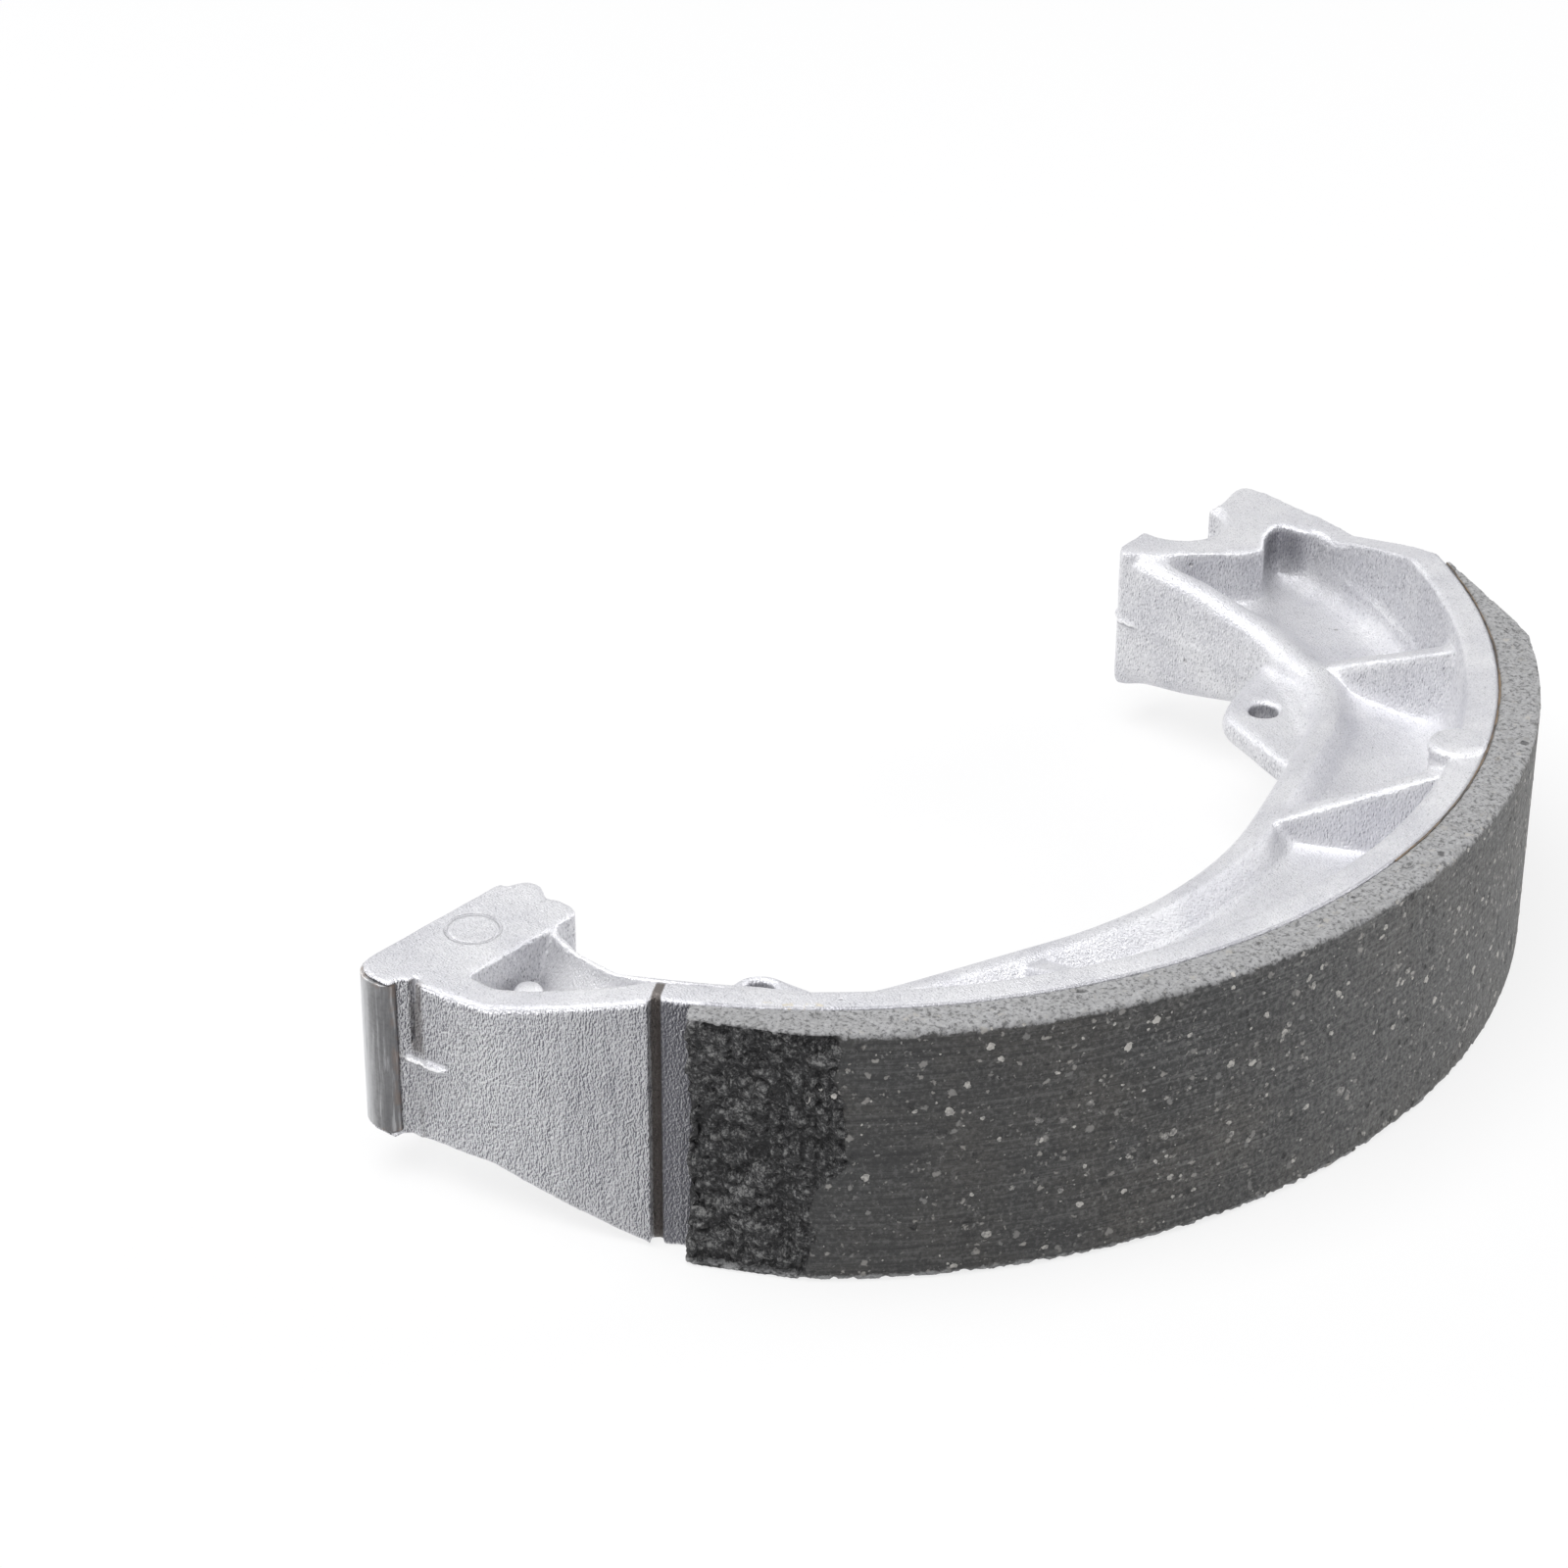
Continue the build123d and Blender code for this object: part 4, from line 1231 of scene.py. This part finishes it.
@dataclass
class Lining:
    """The friction lining, ground on its outer face and left torn at its cam end."""

    voxel: float = 0.30 * MM
    triangles: int = 170000
    radius: float = 80.0 * MM
    width: float = 29.0 * MM
    bed: Pair = mm(75.7, 76.2)
    face: Pair = mm(78.9, 79.9)
    sides: Pair = mm(13.7, 14.4)
    cam_end: float = -80.4 * MM
    stretch: float = 1.0 * MM
    stretch_over: float = 5 * MM
    torn_levels: tuple[float, ...] = mm(0.0, 9.8, 14.5, 22.8, 29.0)
    torn_ends: tuple[float, ...] = mm(-70.3, -68.6, -65.7, -67.5, -66.8)
    torn_depth: float = 1.35
    lump_layers: tuple[tuple[float, int], ...] = ((430.0, 12), (820.0, 13), (1500.0, 16))
    light: Triple = (0.30, -0.35, 0.89)
    grain_sizes: Pair = mm(0.10, 0.50)
    grain_ends: Pair = mm(-62.0, -5.0)

    def build(self) -> list[bpy.types.Object]:
        """Build the lining and the grains set in it.

        Returns:
            The two finished pieces.
        """
        skin = Skin(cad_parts["friction_lining"], "lining_body", self.voxel)
        self.reach_out(skin.points)
        skin.relax(1)
        skin.press(self.relief(skin.points, skin.normals()))
        piece = skin.finish(self.triangles, FrictionCompound().build())
        self.mark_torn(piece.data)
        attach(piece, "root")
        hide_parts("friction_lining")
        grains = self.grains(piece)
        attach(grains, "root")
        return [piece, grains]

    def lumps(self, points: Array) -> Array:
        """Raise the torn patch's lumps by the place along and across the lining.

        Args:
            points: the lining's points.

        Returns:
            A height from 0 to 1 at each point.
        """
        sheet = np.stack((plan_angle(points) * self.radius, points[:, 2], np.zeros(len(points))), axis=1)
        coarse, middle, fine = (value_noise(sheet, *layer) for layer in self.lump_layers)
        middle, fine = (np.abs(2 * layer - 1) ** 0.7 for layer in (middle, fine))
        return smooth_step(coarse * 0.40 + middle * 0.30 + fine * 0.30, 0.15, 0.80)

    def reach_out(self, points: Array) -> None:
        """Draw the cam end out a little along the rim, unevenly, as the torn edge runs.

        Args:
            points: the lining's points, which are moved.
        """
        arc = plan_angle(points) * self.radius
        share = 1 - smooth_step(arc, self.cam_end, self.cam_end + self.stretch_over)
        turn = -share * (self.stretch + (value_noise(points, 700.0, 17) - 0.5) * 0.5 * MM) / self.radius
        x, y = points[:, 0].copy(), points[:, 1].copy()
        points[:, 0] = x * np.cos(turn) - y * np.sin(turn)
        points[:, 1] = x * np.sin(turn) + y * np.cos(turn)

    def torn(self, points: Array) -> Array:
        """Find the torn patch at the cam end.

        Args:
            points: the lining's points.

        Returns:
            1 in the patch and 0 on the ground face.
        """
        end = np.interp(points[:, 2], self.torn_levels, self.torn_ends)
        line = plan_angle(points) * self.radius - end + (value_noise(points, 380.0, 11) - 0.5) * 2.6 * MM
        return 1 - smooth_step(line, -0.5 * MM, 0.5 * MM)

    def mark_torn(self, mesh: bpy.types.Mesh) -> None:
        """Store the torn patch and its lumps for the shader, lighter where a lump is lit.

        Args:
            mesh: the lining's mesh.
        """
        points, normals = triples(mesh.vertices, "co"), triples(mesh.vertex_normals, "vector")
        outward = points * np.array([1.0, 1.0, 0.0])
        outward /= np.linalg.norm(outward, axis=1, keepdims=True)
        lit = (normals - outward) @ np.array(self.light)
        store(mesh, "lump", self.lumps(points) * 0.45 + 0.25 + lit * 0.75)
        store(mesh, "torn", self.torn(points))

    def relief(self, points: Array, normals: Array) -> Array:
        """Find how far the torn patch, the chips and the pits move the surface.

        Args:
            points: the lining's points.
            normals: the normal at each point.

        Returns:
            The rise at each point.
        """
        radius, slope = plan_radius(points), np.abs(normals[:, 2])
        bed = smooth_step(radius, *self.bed)
        across = 1 - smooth_step(slope, 0.25, 0.6)
        rise = self.torn(points) * bed * across * (self.lumps(points) - 0.85) * self.torn_depth * MM
        near_side = smooth_step(np.abs(points[:, 2] - self.width / 2), *self.sides)
        chips = smooth_step(value_noise(points, 1500.0, 14), 0.45, 0.90)
        rise -= smooth_step(radius, *self.face) * near_side * (chips * 0.24 + 0.08) * MM
        pits = smooth_step(value_noise(points, 1000.0, 15), 0.70, 0.90)
        rise -= bed * np.where(slope > 0.7, 0.26, 0.12) * MM * pits
        return rise * bed

    def grains(self, lining: bpy.types.Object) -> bpy.types.Object:
        """Scatter the larger mineral grains over the ground face.

        Args:
            lining: the finished lining.

        Returns:
            The grains as one piece.
        """
        tree = GeometryTree(
            "mineral_grains",
            {"Density": 210000.0, "Face radius": self.radius - 0.35 * MM, "Sparse end": self.grain_ends[0],
             "Dense end": self.grain_ends[1], "Smallest": self.grain_sizes[0], "Largest": self.grain_sizes[1],
             "Seed": 7},
        )
        given = tree.given
        place = tree.node("GeometryNodeInputPosition")
        reach = tree.vector("LENGTH", tree.vector("MULTIPLY", place, (1, 1, 0))).out("Value")
        outside = tree.node("FunctionNodeCompare", {"operation": "GREATER_THAN"},
                            {0: reach, 1: given("Face radius")})
        along = tree.node("ShaderNodeSeparateXYZ", {}, {0: place}).out(1)
        density = tree.spread(along, given("Sparse end"), given("Dense end"), 0.18, 1.0) * given("Density")
        scattered = tree.node(
            "GeometryNodeDistributePointsOnFaces", {},
            {"Mesh": given("Geometry"), "Selection": outside, "Density": density, "Seed": given("Seed")},
        )
        steep = tree.chance(0.0, 1.0, given("Seed")).maths("POWER", 2.4)
        size = tree.spread(steep, 0.0, 1.0, given("Smallest"), given("Largest"))
        shape = tree.node("FunctionNodeRandomValue", {"data_type": "FLOAT_VECTOR"},
                          {0: (0.55, 0.55, 0.10), 1: (1.25, 1.25, 0.16), "Seed": 21})
        scale = tree.node("ShaderNodeVectorMath", {"operation": "SCALE"}, {0: shape, "Scale": size})
        ball = tree.node("GeometryNodeMeshIcoSphere", {}, {"Radius": 1.0, "Subdivisions": 2})
        lump = tree.moved(ball, tree.node("ShaderNodeTexNoise", {}, {"Scale": 1.7}), (2.0, 2.0, 1.1))
        turned = tree.node("FunctionNodeRotateRotation", {"rotation_space": "LOCAL"},
                           {0: scattered.out("Rotation"), 1: tree.joined(z=tree.chance(0.0, 6.2832, 22))})
        placed = tree.node("GeometryNodeInstanceOnPoints", {},
                           {"Points": scattered, "Instance": lump, "Rotation": turned, "Scale": scale})
        stored = tree.node("GeometryNodeStoreNamedAttribute", {"data_type": "FLOAT", "domain": "INSTANCE"},
                           {"Geometry": placed, "Name": "tint", "Value": tree.chance(0.0, 1.0, 23)})
        return tree.apply("lining_grains", lining.data.copy(), stored, MineralGrain().build())


@dataclass
class WearPlate:
    """The bent steel plate that takes the cam."""

    voxel: float = 0.16 * MM
    dents: float = 0.05 * MM
    triangles: int = 60000

    def build(self) -> bpy.types.Object:
        """Build the dressed plate.

        Returns:
            The finished piece.
        """
        skin = Skin(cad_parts["cam_wear_plate"], "wear_plate", self.voxel)
        skin.relax(2)
        skin.press((value_noise(skin.points, 420.0, 31) - 0.5) * self.dents)
        piece = skin.finish(self.triangles, DullSteel().build())
        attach(piece, "root")
        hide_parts("cam_wear_plate")
        return piece


@dataclass
class BondLine:
    """The adhesive that shows between the lining and the rim."""

    radius: float = 75.5 * MM
    width: float = 29.0 * MM
    start: float = radians(-57.6)
    upper_start: float = radians(2.0)
    sweep: float = radians(113.2)
    bead: float = 0.10 * MM
    sunk: float = 0.04 * MM
    shake: Triple = (0.0004, 0.0004, 0.00016)

    def build(self) -> list[bpy.types.Object]:
        """Build one bead for each side of the shoe.

        Returns:
            The two finished pieces.
        """
        material = Adhesive().build()
        beads = [
            self.line("bond_line_upper", self.width - self.sunk, 41.0, self.upper_start, material),
            self.line("bond_line_lower", self.sunk, 47.0, self.start, material),
        ]
        for bead in beads:
            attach(bead, "root")
        return beads

    def line(self, name: str, level: float, seed: float, start: float,
             material: bpy.types.Material) -> bpy.types.Object:
        """Run one uneven bead along the bond.

        Args:
            name: the bead's name.
            level: its height above the floor.
            seed: a number that picks its unevenness.
            start: the angle at which it starts.
            material: its material.

        Returns:
            The bead.
        """
        tree = GeometryTree(
            name + "_tree",
            {"Radius": self.radius, "Start": start, "Sweep": self.start + self.sweep - start,
             "Bead": self.bead, "Level": level, "Seed": seed},
        )
        given = tree.given
        arc = tree.node("GeometryNodeCurveArc", {},
                        {"Resolution": 700, "Radius": given("Radius"), "Start Angle": given("Start"),
                         "Sweep Angle": given("Sweep")})
        noise = tree.node("ShaderNodeTexNoise", {"noise_dimensions": "4D"},
                          {"Scale": 260.0, "Detail": 2.0, "W": given("Seed")})
        swell = tree.spread(noise, 0.35, 0.7, 0.5, 1.4)
        moved = tree.moved(arc, noise, self.shake)
        thick = tree.node("GeometryNodeSetCurveRadius", {}, {"Curve": moved, "Radius": swell})
        ring = tree.node("GeometryNodeCurvePrimitiveCircle", {}, {"Resolution": 6, "Radius": given("Bead")})
        sockets = {"Curve": thick, "Profile Curve": ring, "Scale": swell, "Fill Caps": True}
        tube = tree.node("GeometryNodeCurveToMesh", {}, sockets)
        lift = tree.joined(z=given("Level"))
        lifted = tree.node("GeometryNodeTransform", {}, {"Geometry": tube, "Translation": lift})
        return tree.apply(name, bpy.data.meshes.new(name), lifted, material)


# ---- stage ----


@dataclass
class Studio:
    """The pale floor, the soft lights and the camera."""

    camera_place: Triple = (0.27167, -0.32104, 0.25318)
    forward: Triple = (-0.56475, 0.65656, -0.50003)
    roll: float = radians(0.2486)
    lens: float = 98.16
    sensor: float = 36.0
    floor_size: float = 6.0
    floor_level: float = -0.0002
    aim: Triple = (0.04, 0.0, 0.014)
    panels: tuple[tuple[str, Triple, float, float], ...] = (
        ("key_panel", (-0.05, -0.30, 0.90), 0.7, 8.5),
        ("left_panel", (-0.90, -0.30, 0.40), 0.4, 2.6),
        ("right_panel", (0.40, 0.85, 0.35), 0.5, 4.5),
    )
    sky: Triple = (0.95, 0.95, 1.0)
    sky_strength: float = 0.25
    backdrop: Triple = (0.8, 0.8, 0.8)

    def build(self) -> None:
        """Make the camera, the floor, the lights and the world."""
        self.camera()
        self.floor()
        for panel in self.panels:
            self.light(*panel)
        self.world()

    def camera(self) -> None:
        """Make the camera."""
        ahead = Vector(self.forward).normalized()
        right = ahead.cross(Vector((0, 0, 1))).normalized()
        up = right.cross(ahead)
        turned_right = right * cos(self.roll) + up * sin(self.roll)
        turned_up = up * cos(self.roll) - right * sin(self.roll)
        data = bpy.data.cameras.new("camera")
        data.lens = self.lens
        data.sensor_width = self.sensor
        data.sensor_fit = "HORIZONTAL"
        data.clip_start = 0.01
        camera = add_object("camera", data)
        axes = Matrix((turned_right, turned_up, -ahead)).transposed().to_4x4()
        camera.matrix_world = Matrix.Translation(self.camera_place) @ axes
        bpy.context.scene.camera = camera

    def floor(self) -> None:
        """Make the floor, a wide disc just under the shoe."""
        shell = bmesh.new()
        bmesh.ops.create_circle(shell, cap_ends=True, segments=96, radius=self.floor_size)
        mesh = bpy.data.meshes.new("floor")
        shell.to_mesh(mesh)
        shell.free()
        mesh.transform(Matrix.Translation((0, 0, self.floor_level)))
        mesh.materials.append(StudioFloor().build())
        floor = add_object("floor", mesh)
        floor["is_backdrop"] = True

    def light(self, name: str, place: Triple, size: float, watts: float) -> None:
        """Make one square panel light that looks at the shoe.

        Args:
            name: the light's name.
            place: where it stands.
            size: its edge.
            watts: its power.
        """
        data = bpy.data.lights.new(name, "AREA")
        data.size = size
        data.energy = watts
        aim = (Vector(self.aim) - Vector(place)).normalized()
        turn = aim.to_track_quat("-Z", "Y").to_matrix().to_4x4()
        add_object(name, data).matrix_world = Matrix.Translation(place) @ turn

    def world(self) -> None:
        """Make the world: plain light on the object and a pale backdrop to the camera."""
        world = bpy.data.worlds.new("studio")
        bpy.context.scene.world = world
        world.use_nodes = True
        tree = Tree(world.node_tree)
        plain = tree.node("ShaderNodeBackground", {}, {"Color": self.sky, "Strength": self.sky_strength})
        white = tree.node("ShaderNodeBackground", {}, {"Color": self.backdrop, "Strength": 1.0})
        mixed = tree.node("ShaderNodeMixShader", {}, {0: tree.seen(), 1: plain, 2: white})
        tree.node("ShaderNodeOutputWorld", {}, {0: mixed})


def main() -> None:
    """Build the stage and every piece, and log each."""
    bpy.context.scene.view_settings.view_transform = "Standard"
    Studio().build()
    pieces = [Casting().build(), PocketBoss().build()]
    pieces += Lining().build()
    pieces += [WearPlate().build()]
    pieces += BondLine().build()
    for piece in pieces:
        log.info("%s: %d faces", piece.name, len(piece.data.polygons))
    corners = [[list(corner) for corner in bounds] for bounds in (cad_bounds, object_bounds())]
    "\n".join(json.dumps(corner) for corner in corners) + "\n"


if __name__ == "__main__":
    logging.basicConfig(level=logging.INFO, format="%(name)s %(message)s")
    main()
